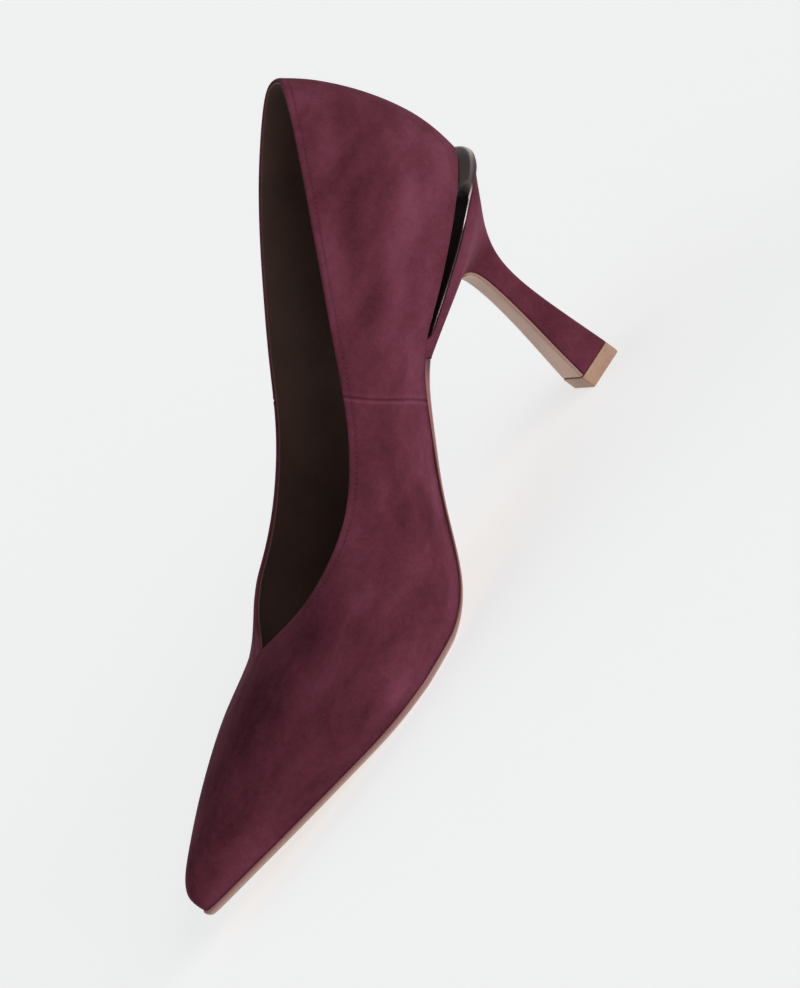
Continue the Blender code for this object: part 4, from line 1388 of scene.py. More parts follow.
def make_outsole(context):
    """The thin leather sole, with an eased edge and a bevel along its tread."""
    sizes, colours = context.scene.shoe_sizes, context.scene.shoe_colours
    long_steps, toe_steps = SOLE_COLUMN_STEPS
    stations = np.concatenate([np.linspace(LIP_STATION - LIP_LAP, SOLE_TOE, long_steps)[:-1],
                               np.linspace(SOLE_TOE, LAST.toe, toe_steps)])
    rows = table(SOLE_COLUMNS, SOLE_ROWS)
    edge, bevel = (np.interp(stations, rows["station"], rows[name]) for name in ("edge", "bevel"))
    ease = sizes.edge_round * SOLE_EASE
    halfway = HALFWAY_ROUND * ease
    high, bottom = SOLE_TOP_GAP, GAP + SOLE_THICKNESS
    past_lip = stations - stations[0]
    full = SOLE_PROUD - (SOLE_PROUD + LIP_INSET) * smooth_step(1 - past_lip / LIP_RUN)
    profile = [(-WALL, 0.0), (full - ease, high), (full - halfway, high + halfway),
               (full, high + ease), (full, edge / 2), (full, edge)]
    profile += [(full - bevel * share, edge + (bottom - edge) * share ** BEVEL_CURVE)
                for share in BEVEL_SHARES]
    levels = [ribs(stations, proud, drop, SOLE_ACROSS) for proud, drop in profile]
    points, faces = slab(levels)
    count = len(points) // len(levels)
    waist = np.repeat(smooth_step((DYE_END - stations) / DYE_FADE), SOLE_ACROSS + 1)
    wrap = np.repeat(smooth_step(1 - past_lip / LIP_WRAP), SOLE_ACROSS + 1)
    attributes = {"under": np.repeat(UNDER_LEVELS, count),
                  "wrapped": np.tile(wrap, len(levels)),
                  "dyed": np.maximum(np.repeat(DYE_LEVELS, count), np.tile(waist, len(levels)))}
    made = build("outsole_leather", points, faces, sole_look(colours), attributes)
    check_box(made, "outsole")
    wear(made, "sole_leather", "outsole")


def lip_x():
    """Where the heel, its plate and the outsole meet under the waist."""
    return LAST.underside(LIP_STATION)[0] - GAP


class Plate:
    """The polished plate between seat and heel, as places on its side wall."""

    def __init__(self, ease):
        self.front = lip_x() - GAP
        self.start = -SEAT_OVERHANG + SLOT_START
        self.ease = ease
        self.bulge = spline(np.array(BAND_BULGE)[:, None])
        xs = np.linspace(self.start, self.front, FORK_STEPS)
        open_run = self.ceiling(xs) - self.floor(xs) > SLOT_LEAST
        self.fork = xs[open_run][-1]
        self.middle = (self.ceiling(self.start) + self.floor(self.start)) / 2
        self.radius = (self.ceiling(self.start) - self.floor(self.start)) / 2

    def top(self, x):
        """Height of the plate's upper face."""
        return LAST.height_at(x) - GAP

    def bottom(self, x):
        """Height of its lower face, which laps over the heel where the band is."""
        over = BAND_OVERLAP * smooth_step((-SEAT_OVERHANG + SLOT_START - x) / BAND_OVERLAP_RUN)
        return LAST.heel_top(x) + GAP - over

    def ceiling(self, x):
        """Height of the upper leg's lower face."""
        return self.top(x) - PLATE_LEG

    def floor(self, x):
        """Height of the lower leg's upper face."""
        return self.bottom(x) + PLATE_LEG

    def slot_distance(self, x, z):
        """Distance of a point of the side wall to the open slot."""
        beyond = np.maximum(x - self.fork, 0)
        above = np.maximum(z - self.ceiling(x), self.floor(x) - z)
        inside = np.hypot(np.maximum(above, 0), beyond)
        behind = np.hypot(x - self.start, z - self.middle) - self.radius
        return np.maximum(np.where(x < self.start, behind, inside), 0)

    def proud(self, station, share):
        """How far the wall stands out of the feather line: the band's full round at the back."""
        share = np.clip(share, 0, 1)
        fade = smooth_step(1 - station / BAND_STATIONS)
        full = PLATE_PROUD * self.bulge(share * (len(BAND_BULGE) - 1))[..., 0]
        recess = blend(LEG_RECESS, smooth_step(share))
        return fade * (full + recess) - recess

    def covered(self, x):
        """How far the heel's suede covers the plate: nowhere behind the fork, wholly ahead of it."""
        return smooth_step((x - self.fork - PLATE_COVER_RUN / 4) / PLATE_COVER_RUN)

    def wall(self, station, share, side):
        """Points of the side wall, share of the way from its top to its bottom."""
        turn = LAST.turn_of(station, side)
        x = np.minimum(LAST.feather(turn, self.proud(station, share))[..., 0], self.front)
        top, bottom = self.top(x), self.bottom(x)
        z = top + (bottom - top) * share
        close = np.clip(1 - self.slot_distance(x, z) / self.ease, 0, 1)
        inset = self.ease * close ** 2 + PLATE_COVER_INSET * self.covered(x)
        place = LAST.feather(turn, self.proud(station, share) - inset)
        place[..., 0] = np.minimum(place[..., 0], self.front)
        place[..., 2] = z
        return place


def plate_columns(plate):
    """Stations from the plate's back to its front, and the columns at the slot's two ends."""
    slot, fork, front = (LAST.station_at(x) for x in (plate.start, plate.fork, plate.front))
    back_steps, slot_steps, front_steps = PLATE_COLUMNS
    back = np.linspace(0, 1, back_steps)[:-1] ** PLATE_CROWDING * slot
    along = slot + (fork - slot) * np.linspace(0, 1, slot_steps)[:-1]
    stations = np.concatenate([back, along, np.linspace(fork, front, front_steps)])
    return stations, len(back), len(back) + len(along)


def plate_rows(plate, x):
    """Shares down the wall: the upper leg, the slot's height and the lower leg."""
    leg = np.minimum(PLATE_LEG / (plate.top(x) - plate.bottom(x)), 0.5)[:, None]
    steps = np.linspace(0, 1, LEG_ROWS)
    slot = leg + (1 - 2 * leg) * np.linspace(0, 1, SLOT_CELLS + 1)[1:-1]
    return np.concatenate([leg * steps, slot, 1 - leg * steps[::-1]], axis=1)


def plate_walls(plate, stations, xs, shares, first):
    """The medial and the lateral side wall, whose columns follow the slot's round end."""
    height = plate.top(xs)[:, None] * (1 - shares) + plate.bottom(xs)[:, None] * shares
    bulge = np.sqrt(np.maximum(plate.radius ** 2 - (height - plate.middle) ** 2, 0))
    reach = LAST.station_at(plate.start) - LAST.station_at(plate.start - bulge)
    share_of_slot = stations / stations[first]
    follow = np.clip((share_of_slot - ROUND_END_START) / (1 - ROUND_END_START), 0, 1)
    follow = np.where(stations <= stations[first], follow, 0)[:, None]
    where = stations[:, None] - follow * reach
    return [plate.wall(where, shares, side) for side in (1, -1)]


def plate_finish(plate, xs, shares, first, top, low):
    """Painted shade and painted highlight of a side wall, as two grids."""
    dark = np.zeros(shares.shape)
    # Painted shade on the columns behind the slot's round end
    for behind, level in enumerate(SLOT_END_SHADES):
        dark[first - behind, top:low] = level
    # Painted shade on the band's lower half
    start, end = BAND_SHADE_SHARES
    lower_half = smooth_step((shares - start) / (end - start))
    behind_slot = smooth_step((plate.start - BAND_SHADE_START - xs) / BAND_SHADE_RUN)[:, None]
    dark = np.maximum(dark, BAND_SHADE * lower_half * behind_slot)
    # Painted highlight along the lower leg's rim, and painted shade where the table is below 0
    lights = np.interp(np.minimum(xs, plate.front) - plate.start, *np.array(RIM_LIGHT).T)
    rim = lights[:, None] * (np.arange(shares.shape[1]) >= low - 1)
    # Painted highlight on the band's backmost part
    backmost = BAND_LIGHT * smooth_step(1 - (xs - xs[0]) / BAND_LIGHT_RUN)[:, None]
    bright = np.maximum(np.maximum(rim, 0), backmost * (shares < end))
    return np.maximum(dark, -rim), bright


def slot_edge(grid, first, last, top, low):
    """The slot's edge on a side wall, as numbers of points."""
    edge = [(first, row) for row in range(low, top, -1)]
    edge += [(station, top) for station in range(first, last)]
    edge += [(last, row) for row in range(top, low)]
    edge += [(station, low) for station in range(last, first, -1)]
    return np.array([grid[place] for place in edge])


def make_plate(context):
    """Polished plate folded like a hairpin round its slot, with a proud band at the back."""
    sizes, colours = context.scene.shoe_sizes, context.scene.shoe_colours
    plate = Plate(sizes.plate_ease)
    stations, first, last = plate_columns(plate)
    top, low = LEG_ROWS - 1, LEG_ROWS - 1 + SLOT_CELLS
    xs = LAST.feather(stations)[:, 0]
    shares = plate_rows(plate, np.minimum(xs, plate.front))
    medial, lateral = plate_walls(plate, stations, xs, shares, first)
    grid = np.arange(shares.size).reshape(shares.shape)
    slot = np.zeros((len(stations) - 1, shares.shape[1] - 1), bool)
    slot[first:last, top:low] = True
    faces = [quads(grid).reshape(*slot.shape, 4)[~slot],
             quads(grid + grid.size, flip=True).reshape(*slot.shape, 4)[~slot]]
    edge = slot_edge(grid, first, last, top, low)
    rims = [wall.reshape(-1, 3)[edge] for wall in (medial, lateral)]
    inside = [blend(rims, share) for share in SLOT_SHADE_SHARES]
    hollow = 2 * grid.size + np.arange(len(inside) * edge.size).reshape(-1, edge.size)
    faces.append(quads(np.stack([edge, *hollow, edge + grid.size], axis=1), closed=True))
    points = [medial.reshape(-1, 3), lateral.reshape(-1, 3), *inside]
    total = 2 * grid.size + hollow.size
    across = np.linspace(0, 1, PLATE_ACROSS + 1)
    for near, far in ((medial[:, 0], lateral[:, 0]), (medial[:, -1], lateral[:, -1]),
                      (medial[-1], lateral[-1])):
        sheet = between(near, far, across)
        points.append(sheet.reshape(-1, 3))
        faces.append(quads(total + np.arange(sheet.size // 3).reshape(sheet.shape[:2])))
        total += sheet.size // 3
    # Painted shade and painted highlight of both side walls
    dark, bright = plate_finish(plate, xs, shares, first, top, low)
    shade, polish = np.zeros(total), np.zeros(total)
    shade[:2 * grid.size] = np.tile(dark.ravel(), 2)
    # Painted shade inside the slot
    shade[hollow] = SLOT_SHADE
    polish[:2 * grid.size] = np.tile(bright.ravel(), 2)
    made = build("heel_plate_polished", np.concatenate(points), np.concatenate(faces),
                 gunmetal(colours), {"polish": polish, "shade": shade})
    check_box(made, "heel_plate")
    wear(made, "gunmetal", "heel_plate")


def heel_ring(row):
    """One closed cross-section of the heel, from its back round its medial side."""
    back, back_height, front, front_height, breadth, seat_form = row
    side_steps, front_steps = RING_STEPS
    corner = CORNER_ROUND * (1 + (CORNER_SHARP - 1) * min(max(seat_form, 0), 1))
    along = np.linspace(0, 1, side_steps + 1) ** HEEL_CROWDING
    round_corner = 1 - CORNER_PLACES * corner / (front - back)
    along = np.sort(np.concatenate([along, round_corner]))
    x = back + along * (front - back)
    z = back_height + along * (front_height - back_height)
    low = smooth_step(1 - (back_height + front_height) / (2 * STEM_SQUARE_BELOW * HEEL_RISE))
    square = blend(STEM_SQUARENESS, low)
    round_part = np.clip(along / blend(STEM_ROUND, low), 0, 1)
    stem = np.clip(1 - (1 - round_part) ** square, 0, 1) ** (1 / square)
    seat_x = -SEAT_OVERHANG + along * (lip_x() + SEAT_OVERHANG)
    seat = LAST.half_breadth(LAST.station_at(seat_x)) / (SEAT_BREADTH / 2)
    half = breadth * (seat_form * seat + (1 - seat_form) * stem)
    half[0] = 0.0
    short = np.clip(1 - (front - x) / corner, 0, 1)
    half = np.maximum(half - corner * (1 - np.sqrt(np.maximum(1 - short ** 2, 0))), 0)
    medial = np.stack([x, half, z], axis=1)
    across = np.linspace(1, -1, front_steps + 1)[1:-1]
    middle = np.stack([np.full(len(across), x[-1]), half[-1] * across,
                       np.full(len(across), z[-1])], axis=1)
    lateral = (medial * (1, -1, 1))[:0:-1]
    return np.concatenate([medial, middle, lateral])


def heel_rows():
    """The heel's table in metres, ending on the top piece."""
    scales = {"back": -SEAT_OVERHANG, "back_height": HEEL_RISE, "front": SEAT_OVERHANG,
              "front_height": HEEL_RISE, "breadth": SEAT_BREADTH / 2, "seat_form": 1.0}
    rows = [cells * scales[name] for name, cells in table(HEEL_COLUMNS, HEEL_ROWS).items()]
    foot = TOP_PIECE_HEIGHT + GAP
    front = TOP_PIECE_LENGTH / 2 - GAP - BREAST_COVER_THICKNESS
    back = -TOP_PIECE_LENGTH / 2 - FOOT_FLARE
    last_row = (back, foot, front, foot, TOP_PIECE_BREADTH / 2, 0.0)
    return np.concatenate([np.stack(rows, axis=1), [last_row]])


def tube(rings):
    """Points and faces of a closed solid through rings of points, with a face over each end."""
    rings = np.array(rings)
    count = rings.shape[1]
    grid = np.arange(rings.shape[0] * count).reshape(rings.shape[0], count)
    looped = np.concatenate([grid, grid[:, :1]], axis=1)
    points = np.concatenate([rings.reshape(-1, 3), [rings[0].mean(0)], [rings[-1].mean(0)]])
    faces = [tuple(face) for face in quads(looped)]
    for ring, middle in ((grid[0], grid.size), (grid[-1], grid.size + 1)):
        for j in range(count):
            pair = (ring[j], ring[(j + 1) % count])
            faces.append((pair if middle == grid.size else pair[::-1]) + (middle,))
    return points, faces


def drawn_in(ring, reach):
    """A ring moved towards its own middle line by reach, for a round edge."""
    level = ring[:, :2]
    along = np.roll(level, -1, axis=0) - np.roll(level, 1, axis=0)
    length = np.maximum(np.linalg.norm(along, axis=1, keepdims=True), TINY)
    inward = np.stack([along[:, 1], -along[:, 0]], axis=1) / length
    moved = ring.copy()
    moved[:, :2] = level + inward * reach
    return moved


def round_ring(ring, ease, share, rise):
    """A ring some share of the way round an edge of radius ease that rises by 1 or by -1."""
    swing = share * math.pi / 2
    moved = drawn_in(ring, ease * (1 - math.sin(swing)))
    moved[:, 2:] += rise * ease * (1 - math.cos(swing))
    return moved


def heel_painted_light(points):
    """Painted light and painted shade on the heel, from the table of patches."""
    light = np.zeros(len(points))
    for forward, height, forward_reach, height_reach, strength in HEEL_PAINTED_LIGHT_PATCHES:
        across = (points[:, 0] / SEAT_OVERHANG - forward) / forward_reach
        above = (points[:, 2] / HEEL_RISE - height) / height_reach
        light += strength * bell(across) * bell(above)
    return light


def make_heel(context):
    """The suede heel with its wing under the waist, its waisted stem and its flared foot."""
    sizes = context.scene.shoe_sizes
    plate = Plate(sizes.plate_ease)
    rows = heel_rows()
    front = lip_x() + GAP - SOLE_TOP_GAP
    seat = heel_ring((-SEAT_OVERHANG - HEEL_PROUD, 0.0, front, 0.0, SEAT_BREADTH / 2, 1.0))
    seat[:, 2] = LAST.heel_top(seat[:, 0])
    rings = [drawn_in(seat, PLATE_COVER_INSET)]
    covered = plate.covered(seat[:, 0])
    raised = plate.top(seat[:, 0]) + GAP + PLATE_COVER_LAP
    seat[:, 2] += (raised - seat[:, 2]) * covered
    ease = (sizes.edge_round * blend((1, COVERED_EASE), covered))[:, None]
    rings += [round_ring(seat, ease, share, -1) for share in SEAT_EASE_SHARES]
    lowered = seat.copy()
    lowered[:, 2:] -= ease
    to_first_row = np.linspace(0, 1, SEAT_RINGS + 1)[:-1]
    rings += list(between(lowered, heel_ring(rows[0]), to_first_row).swapaxes(0, 1))
    rings += [heel_ring(row) for row in spline(rows)(np.linspace(0, len(rows) - 1, HEEL_RINGS))]
    points, faces = tube(rings)
    # Painted light and painted shade of the heel's patches; the heel has no seams, so none of their
    # painted shade
    attributes = {"nap": heel_painted_light(points), "groove": np.zeros(len(points))}
    look = suede("heel_suede", context.scene.shoe_colours)
    made = build("heel_cover", points, faces, look, attributes)
    check_box(made, "heel")
    wear(made, "heel_suede", "heel")


def make_breast_cover(context):
    """Tan leather facing on the front of the stem, with a round top and a cut edge."""
    sizes, colours = context.scene.shoe_sizes, context.scene.shoe_colours
    rows = heel_rows()
    round_steps, long_steps = COVER_STEPS
    steps = np.concatenate([COVER_ROW + COVER_ROUND_ROWS * np.linspace(0, 1, round_steps)[:-1] ** 2,
                            np.linspace(COVER_ROW + COVER_ROUND_ROWS, len(rows) - 1, long_steps)])
    _, _, front, height, breadth, _ = spline(rows)(steps).T
    run, rise = np.gradient(front), np.gradient(height)
    length = np.hypot(run, rise)
    top = np.clip(1 - (steps - COVER_ROW) / COVER_ROUND_ROWS, 0, 1)
    half = breadth * COVER_BREADTH * np.sqrt(np.maximum(1 - top ** 2, COVER_LEAST_TOP ** 2))
    across = np.linspace(1, -1, COVER_ACROSS + 1)
    ease = sizes.edge_round * COVER_EASE
    halfway = HALFWAY_ROUND * ease
    thick = BREAST_COVER_THICKNESS
    levels = []
    for out, inset in ((0.0, 0.0), (thick - ease, 0.0), (thick - halfway, halfway), (thick, ease)):
        out += COVER_GAP
        level = np.empty((len(steps), len(across), 3))
        level[..., 0] = (front - rise / length * out)[:, None]
        level[..., 1] = across * np.maximum(half - inset, COVER_LEAST_FACE * half)[:, None]
        level[..., 2] = np.maximum(height + run / length * out, TOP_PIECE_HEIGHT + GAP)[:, None]
        levels.append(level)
    points, faces = slab(levels)
    edge = np.repeat(COVER_EDGE_LEVELS, len(steps) * len(across))
    made = build("breast_cover_leather", points, faces, breast_look(colours), {"edge": edge})
    check_box(made, "breast_cover")
    wear(made, "breast_leather", "breast_cover")


def make_top_piece(context):
    """The wearing block under the heel, with eased edges."""
    sizes, colours = context.scene.shoe_sizes, context.scene.shoe_colours
    ease = sizes.edge_round
    half = TOP_PIECE_LENGTH / 2
    ring = heel_ring((-half - FOOT_FLARE, 0.0, half, 0.0, TOP_PIECE_BREADTH / 2, 0.0))
    rings = [round_ring(ring, ease, share, 1) for share in TOP_PIECE_EASE_SHARES]
    heights = np.linspace(ease, TOP_PIECE_HEIGHT - ease / 2, TOP_PIECE_RINGS)[1:]
    rings += [ring + (0, 0, height) for height in heights]
    rings.append(drawn_in(ring, ease / 3) + (0, 0, TOP_PIECE_HEIGHT))
    points, faces = tube(rings)
    look = leather("top_piece_tan", colours.top_piece, roughness=0.5, grain=900.0)
    made = build("top_piece_block", points, faces, look)
    check_box(made, "top_piece")
    wear(made, "top_piece_tan", "top_piece")


class Finish:
    """A material that is being put together from nodes."""

    def __init__(self, name):
        self.material = bpy.data.materials.new(name)
        self.material.use_nodes = True
        self.tree = self.material.node_tree
        self.shader = self.tree.nodes["Principled BSDF"]
        self.place = self.add("ShaderNodeTexCoord").outputs["Object"]

    def add(self, kind, **settings):
        """A node with some of its settings changed."""
        node = self.tree.nodes.new(kind)
        for name, value in settings.items():
            setattr(node, name, value)
        return node

    def put(self, socket, value):
        """Links an output to a socket, or sets the socket to a plain value."""
        if isinstance(value, bpy.types.NodeSocket):
            self.tree.links.new(value, socket)
        else:
            socket.default_value = value

    def fill(self, node, **values):
        """Links or sets the sockets of a node by name, and gives the node."""
        for name, value in values.items():
            self.put(node.inputs[name], value)
        return node

    def noise(self, scale, detail=3.0, roughness=0.5, stretch=None, distortion=0.0):
        """A noise in the object's own space, stretched along its axes if wanted."""
        place = self.place
        if stretch:
            mapping = self.fill(self.add("ShaderNodeMapping"), Vector=place, Scale=stretch)
            place = mapping.outputs["Vector"]
        node = self.fill(self.add("ShaderNodeTexNoise"), Vector=place, Scale=scale, Detail=detail,
                         Roughness=roughness, Distortion=distortion)
        return node.outputs["Fac"]

    def math(self, operation, *values):
        """The result of some arithmetic."""
        node = self.add("ShaderNodeMath", operation=operation)
        for socket, value in zip(node.inputs, values):
            self.put(socket, value)
        return node.outputs[0]

    def sway(self, source, share, level):
        """A level that moves up and down with a texture, by a share of the texture's own change."""
        return self.math("MULTIPLY_ADD", self.math("SUBTRACT", source, 0.5), share, level)

    def attribute(self, name):
        """A number that the mesh stores for each point."""
        return self.add("ShaderNodeAttribute", attribute_name=name).outputs["Fac"]

    def mix(self, share, first, second):
        """A colour some share of the way from one colour to another."""
        node = self.add("ShaderNodeMix", data_type="RGBA")
        self.put(node.inputs["Factor"], share)
        colour_sockets = [socket for socket in node.inputs if socket.type == "RGBA"]
        for socket, value in zip(colour_sockets, (first, second)):
            self.put(socket, value)
        return [socket for socket in node.outputs if socket.type == "RGBA"][0]

    def ramp(self, value, stops):
        """A colour that changes with a value, through stops of a position and a colour."""
        node = self.fill(self.add("ShaderNodeValToRGB"), Fac=value)
        elements = node.color_ramp.elements
        while len(elements) < len(stops):
            elements.new(0.5)
        for element, (position, colour) in zip(elements, stops):
            element.position = position
            element.color = colour
        return node.outputs["Color"]

    def tones(self, value, colour, dark, light, start=0.3):
        """A colour that goes from a darker to a lighter tone of itself."""
        return self.ramp(value, ((start, shaded(colour, dark)), (1 - start, shaded(colour, light))))

    def bump(self, height, strength, distance, **below):
        """A normal that follows a height, on top of another normal where one is given."""
        node = self.fill(self.add("ShaderNodeBump"), Height=height, Strength=strength,
                         Distance=distance, **below)
        return node.outputs["Normal"]

    def finished(self, sockets):
        """The material, once the shader's sockets are linked or set by name."""
        self.fill(self.shader, **sockets)
        return self.material


def rgba(colour):
    """A colour with full alpha."""
    return (*colour, 1.0)


def shaded(colour, factor):
    """A darker or lighter tone of a colour, with full alpha."""
    return rgba([min(1.0, channel * factor) for channel in colour])


def suede(name, colours):
    """Suede with painted light and painted shade, random mottle, fine fibres and a soft sheen."""
    finish = Finish(name)
    broad = finish.noise(26.0, roughness=0.55, stretch=(0.50, 1.0, 1.1), distortion=0.4)
    streaks = finish.noise(75.0, roughness=0.55, stretch=(0.26, 1.0, 1.0), distortion=0.3)
    mottle = finish.noise(420.0, roughness=0.6)
    fibres = finish.noise(2100.0, detail=2.0, roughness=0.7)
    # The suede's lightness starts from the painted light and painted shade of the patches, then random
    # mottle moves it
    light = finish.math("MULTIPLY_ADD", finish.attribute("nap"), 0.30, 0.5)
    for source, share in ((broad, 0.55), (streaks, 0.80), (mottle, 0.28), (fibres, 0.32)):
        light = finish.sway(source, share, light)
    # Painted shade in the seams and stitch line darkens the suede; the fold's painted highlight
    # lightens it
    light = finish.math("MULTIPLY_ADD", finish.attribute("groove"), -0.35, light)
    colour = finish.ramp(light, ((0.12, rgba(colours.suede_dark)), (0.5, rgba(colours.suede)),
                                 (0.88, rgba(colours.suede_light))))
    coarse = finish.bump(mottle, strength=0.35, distance=0.00012)
    return finish.finished({
        "Base Color": colour, "Roughness": 0.95, "Specular IOR Level": 0.04, "Sheen Weight": 0.10,
        "Sheen Roughness": 0.40, "Sheen Tint": (0.80, 0.40, 0.50, 1.0),
        "Normal": finish.bump(fibres, strength=0.55, distance=0.00010, Normal=coarse)})


def leather(name, colour, roughness, grain):
    """Smooth leather with fine pores and a little change of colour."""
    finish = Finish(name)
    patch = finish.noise(60.0)
    pores = finish.noise(grain, roughness=0.6)
    mixed = finish.sway(pores, 0.5, patch)
    return finish.finished({
        "Base Color": finish.tones(mixed, colour, dark=0.78, light=1.18, start=0.25),
        "Roughness": roughness, "Specular IOR Level": 0.35,
        "Normal": finish.bump(pores, strength=0.25, distance=0.00008)})


def sole_look(colours):
    """Leather sole: a darker painted edge, and natural grain with faint scuffs underneath."""
    finish = Finish("sole_leather")
    patch = finish.noise(45.0, detail=4.0, roughness=0.6)
    pores = finish.noise(1300.0, roughness=0.6)
    scuffs = finish.noise(160.0, detail=5.0, roughness=0.7, stretch=(0.25, 1.6, 1.0))
    mixed = finish.sway(scuffs, 0.5, patch)
    under = finish.tones(mixed, colours.sole_leather, dark=0.80, light=1.12)
    colour = finish.tones(pores, colours.sole_edge, dark=0.82, light=1.0)
    for name, other in (("dyed", rgba(colours.sole_dye)), ("under", under),
                        ("wrapped", rgba(colours.suede))):
        colour = finish.mix(finish.attribute(name), colour, other)
    return finish.finished({
        "Base Color": colour, "Roughness": 0.45, "Specular IOR Level": 0.4,
        "Normal": finish.bump(pores, strength=0.2, distance=0.00006)})


def breast_look(colours):
    """Tan leather whose cut edge is darker than its face."""
    finish = Finish("breast_leather")
    pores = finish.noise(1300.0, roughness=0.6)
    face = finish.tones(finish.noise(70.0), colours.breast, dark=0.85, light=1.08)
    return finish.finished({
        "Base Color": finish.mix(finish.attribute("edge"), face, rgba(colours.breast_edge)),
        "Roughness": 0.42, "Specular IOR Level": 0.4,
        "Normal": finish.bump(pores, strength=0.18, distance=0.00006)})


def gunmetal(colours):
    """Dark polished metal, faintly brushed, with painted shade and a painted highlight by the slot."""
    finish = Finish("gunmetal")
    brushed = finish.noise(700.0, detail=2.0, stretch=(0.05, 0.05, 1.0))
    # Painted highlight: towards the bright rim colour where the mesh asks for it
    colour = finish.mix(finish.attribute("polish"), rgba(colours.plate), rgba(colours.plate_painted_highlight))
    # Painted shade: towards a much darker tone of the plate where the mesh asks for it
    colour = finish.mix(finish.attribute("shade"), colour, shaded(colours.plate, 0.12))
    rough = finish.sway(brushed, 0.08, 0.24)
    return finish.finished({
        "Base Color": colour, "Metallic": 1.0,
        "Roughness": finish.math("MULTIPLY_ADD", finish.attribute("shade"), 0.45, rough),
        "Normal": finish.bump(brushed, strength=0.03, distance=0.00005)})


def thread_look(colour):
    """Twisted sewing thread with a slight shine."""
    finish = Finish("thread")
    twist = finish.noise(3000.0, detail=1.0)
    return finish.finished({
        "Base Color": rgba(colour), "Roughness": 0.7, "Specular IOR Level": 0.2,
        "Normal": finish.bump(twist, strength=0.3, distance=0.00005)})


def floor_look(colour, share, glow):
    """The plain pale floor, part of whose brightness is its own."""
    return Finish("pale_floor").finished({
        "Base Color": rgba([share] * 3), "Roughness": 1.0, "Specular IOR Level": 0.0,
        "Emission Color": rgba(colour), "Emission Strength": glow})


def camera_axes():
    """The camera's right, up and backward directions, rolled as in the photograph."""
    turn, rise, roll = (math.radians(v) for v in (CAMERA_TURN, CAMERA_RISE, CAMERA_ROLL))
    level = Vector((-math.cos(turn), math.sin(turn), 0))
    upward = Vector((-math.sin(turn) * math.sin(rise), -math.cos(turn) * math.sin(rise),
                     math.cos(rise)))
    back = Vector((math.sin(turn) * math.cos(rise), math.cos(turn) * math.cos(rise), math.sin(rise)))
    right = level * math.cos(roll) - upward * math.sin(roll)
    up = level * math.sin(roll) + upward * math.cos(roll)
    return right, up, back


def make_camera(context):
    """A long lens at the photograph's angle, framing the one shoe."""
    right, up, back = camera_axes()
    across = (FRAME_MIDDLE[0] - ORIGIN_PIXEL[0]) / PIXELS_PER_METRE
    above = (ORIGIN_PIXEL[1] - FRAME_MIDDLE[1]) / PIXELS_PER_METRE
    low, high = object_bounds()
    depth = ((low + high) / 2).dot(back)
    target = right * across + up * above + back * depth
    data = bpy.data.cameras.new("camera")
    camera = in_scene("camera", data)
    matrix = Matrix((right, up, back)).transposed().to_4x4()
    matrix.translation = target + back * CAMERA_DISTANCE
    camera.matrix_world = matrix
    frame_height = IMAGE_HEIGHT / (PIXELS_PER_METRE * ENLARGED)
    data.lens = data.sensor_width * CAMERA_DISTANCE / frame_height
    data.clip_end = 4 * FLOOR_REACH
    data.dof.use_dof = False
    context.scene.camera = camera


def soft_light(name, direction, breadth, strength):
    """A broad soft light from one direction, breadth degrees across."""
    data = bpy.data.lights.new(name, "SUN")
    data.angle = math.radians(breadth)
    data.energy = strength
    light = in_scene(name, data)
    light.matrix_world = Vector(direction).to_track_quat("Z", "Y").to_matrix().to_4x4()


def make_world(context, settings):
    """Dim even light all round, behind a backdrop that is as pale as the floor."""
    world = bpy.data.worlds.new("studio")
    world.use_nodes = True
    nodes, links = world.node_tree.nodes, world.node_tree.links
    light = nodes["Background"]
    light.inputs["Color"].default_value = SKY_COLOUR
    light.inputs["Strength"].default_value = settings.sky_strength
    seen = nodes.new("ShaderNodeBackground")
    seen.inputs["Color"].default_value = rgba(settings.backdrop)
    path = nodes.new("ShaderNodeLightPath")
    mix = nodes.new("ShaderNodeMixShader")
    links.new(path.outputs["Is Camera Ray"], mix.inputs["Fac"])
    links.new(light.outputs["Background"], mix.inputs[1])
    links.new(seen.outputs["Background"], mix.inputs[2])
    links.new(mix.outputs["Shader"], nodes["World Output"].inputs["Surface"])
    context.scene.world = world


def make_stage(context):
    """The pale floor, the soft studio light and the camera."""
    settings = context.scene.shoe_stage
    make_camera(context)
    mesh = bpy.data.meshes.new("floor")
    corners = [(x * FLOOR_REACH, y * FLOOR_REACH, 0) for x, y in ((-1, -1), (1, -1), (1, 1), (-1, 1))]
    mesh.from_pydata(corners, [], [(0, 1, 2, 3)])
    mesh.materials.append(floor_look(settings.backdrop, settings.floor_share, settings.floor_glow))
    floor = in_scene("floor", mesh)
    floor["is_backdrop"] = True
    for name, direction, breadth in LIGHTS:
        soft_light(f"{name}_light", direction, breadth, getattr(settings, f"{name}_strength"))
    make_world(context, settings)
    context.scene.view_settings.view_transform = "Standard"


class SHOE_OT_upper(bpy.types.Operator):
    """Make the suede upper, its lining and the stitches of its topline"""

    bl_idname = "shoe.upper"
    bl_label = "Upper, lining and stitches"

    def execute(self, context):
        rows = make_suede(context)
        make_lining(context, rows)
        make_stitches(context, rows)
        return {"FINISHED"}


class SHOE_OT_sock(bpy.types.Operator):
    """Make the leather sock inside the shoe"""

    bl_idname = "shoe.sock"
    bl_label = "Sock"

    def execute(self, context):
        make_sock(context)
        return {"FINISHED"}


class SHOE_OT_outsole(bpy.types.Operator):
    """Make the thin leather sole"""

    bl_idname = "shoe.outsole"
    bl_label = "Sole"

    def execute(self, context):
        make_outsole(context)
        return {"FINISHED"}


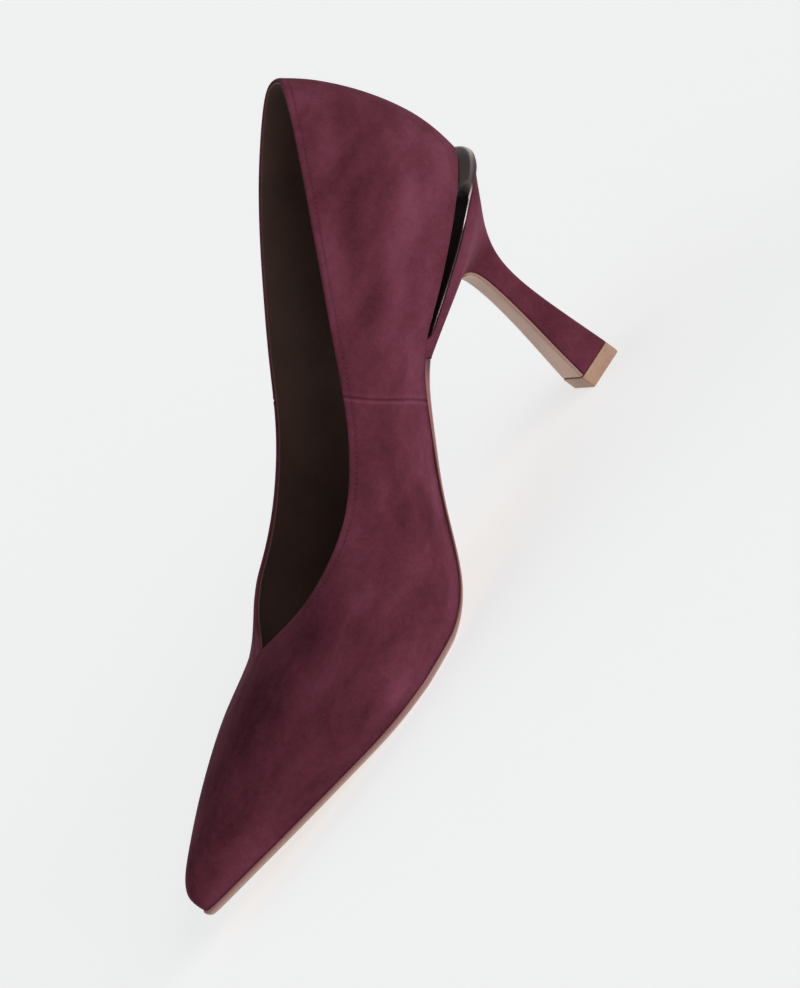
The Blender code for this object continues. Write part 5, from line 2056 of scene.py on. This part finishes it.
class SHOE_OT_plate(bpy.types.Operator):
    """Make the polished plate between seat and heel"""

    bl_idname = "shoe.plate"
    bl_label = "Heel plate"

    def execute(self, context):
        make_plate(context)
        return {"FINISHED"}


class SHOE_OT_heel(bpy.types.Operator):
    """Make the suede heel, its breast cover and its top piece"""

    bl_idname = "shoe.heel"
    bl_label = "Heel, breast cover and top piece"

    def execute(self, context):
        make_heel(context)
        make_breast_cover(context)
        make_top_piece(context)
        return {"FINISHED"}


class SHOE_OT_stage(bpy.types.Operator):
    """Make the floor, the light and the camera"""

    bl_idname = "shoe.stage"
    bl_label = "Stage"

    def execute(self, context):
        make_stage(context)
        return {"FINISHED"}


class SHOE_PT_sidebar(bpy.types.Panel):
    """Lists the pieces of the shoe and their sizes and colours"""

    bl_idname = "SHOE_PT_sidebar"
    bl_label = "Heeled shoe"
    bl_space_type = "VIEW_3D"
    bl_region_type = "UI"
    bl_category = "Shoe"

    def draw(self, context):
        layout = self.layout
        for operator in OPERATORS:
            layout.operator(operator.bl_idname)
        for label, group in GROUPS.items():
            box = layout.box()
            for name in group.__annotations__:
                box.prop(getattr(context.scene, label), name)


GROUPS = {"shoe_sizes": ShoeSizes, "shoe_colours": ShoeColours, "shoe_stage": StageSettings}
OPERATORS = (SHOE_OT_upper, SHOE_OT_sock, SHOE_OT_outsole, SHOE_OT_plate, SHOE_OT_heel, SHOE_OT_stage)
CLASSES = (*GROUPS.values(), *OPERATORS, SHOE_PT_sidebar)


def register():
    """Makes the settings, the operators and the panel known."""
    for kind in CLASSES:
        bpy.utils.register_class(kind)
    for label, group in GROUPS.items():
        setattr(bpy.types.Scene, label, PointerProperty(type=group))


def unregister():
    """Takes the panel, the operators and the settings away again."""
    for label in GROUPS:
        delattr(bpy.types.Scene, label)
    for kind in reversed(CLASSES):
        bpy.utils.unregister_class(kind)


def main():
    """Makes the whole shoe and its stage."""
    register()
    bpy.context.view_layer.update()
    bpy.ops.shoe.upper()
    bpy.ops.shoe.sock()
    bpy.ops.shoe.outsole()
    bpy.ops.shoe.plate()
    bpy.ops.shoe.heel()
    bpy.ops.shoe.stage()


if __name__ == "__main__":
    main()
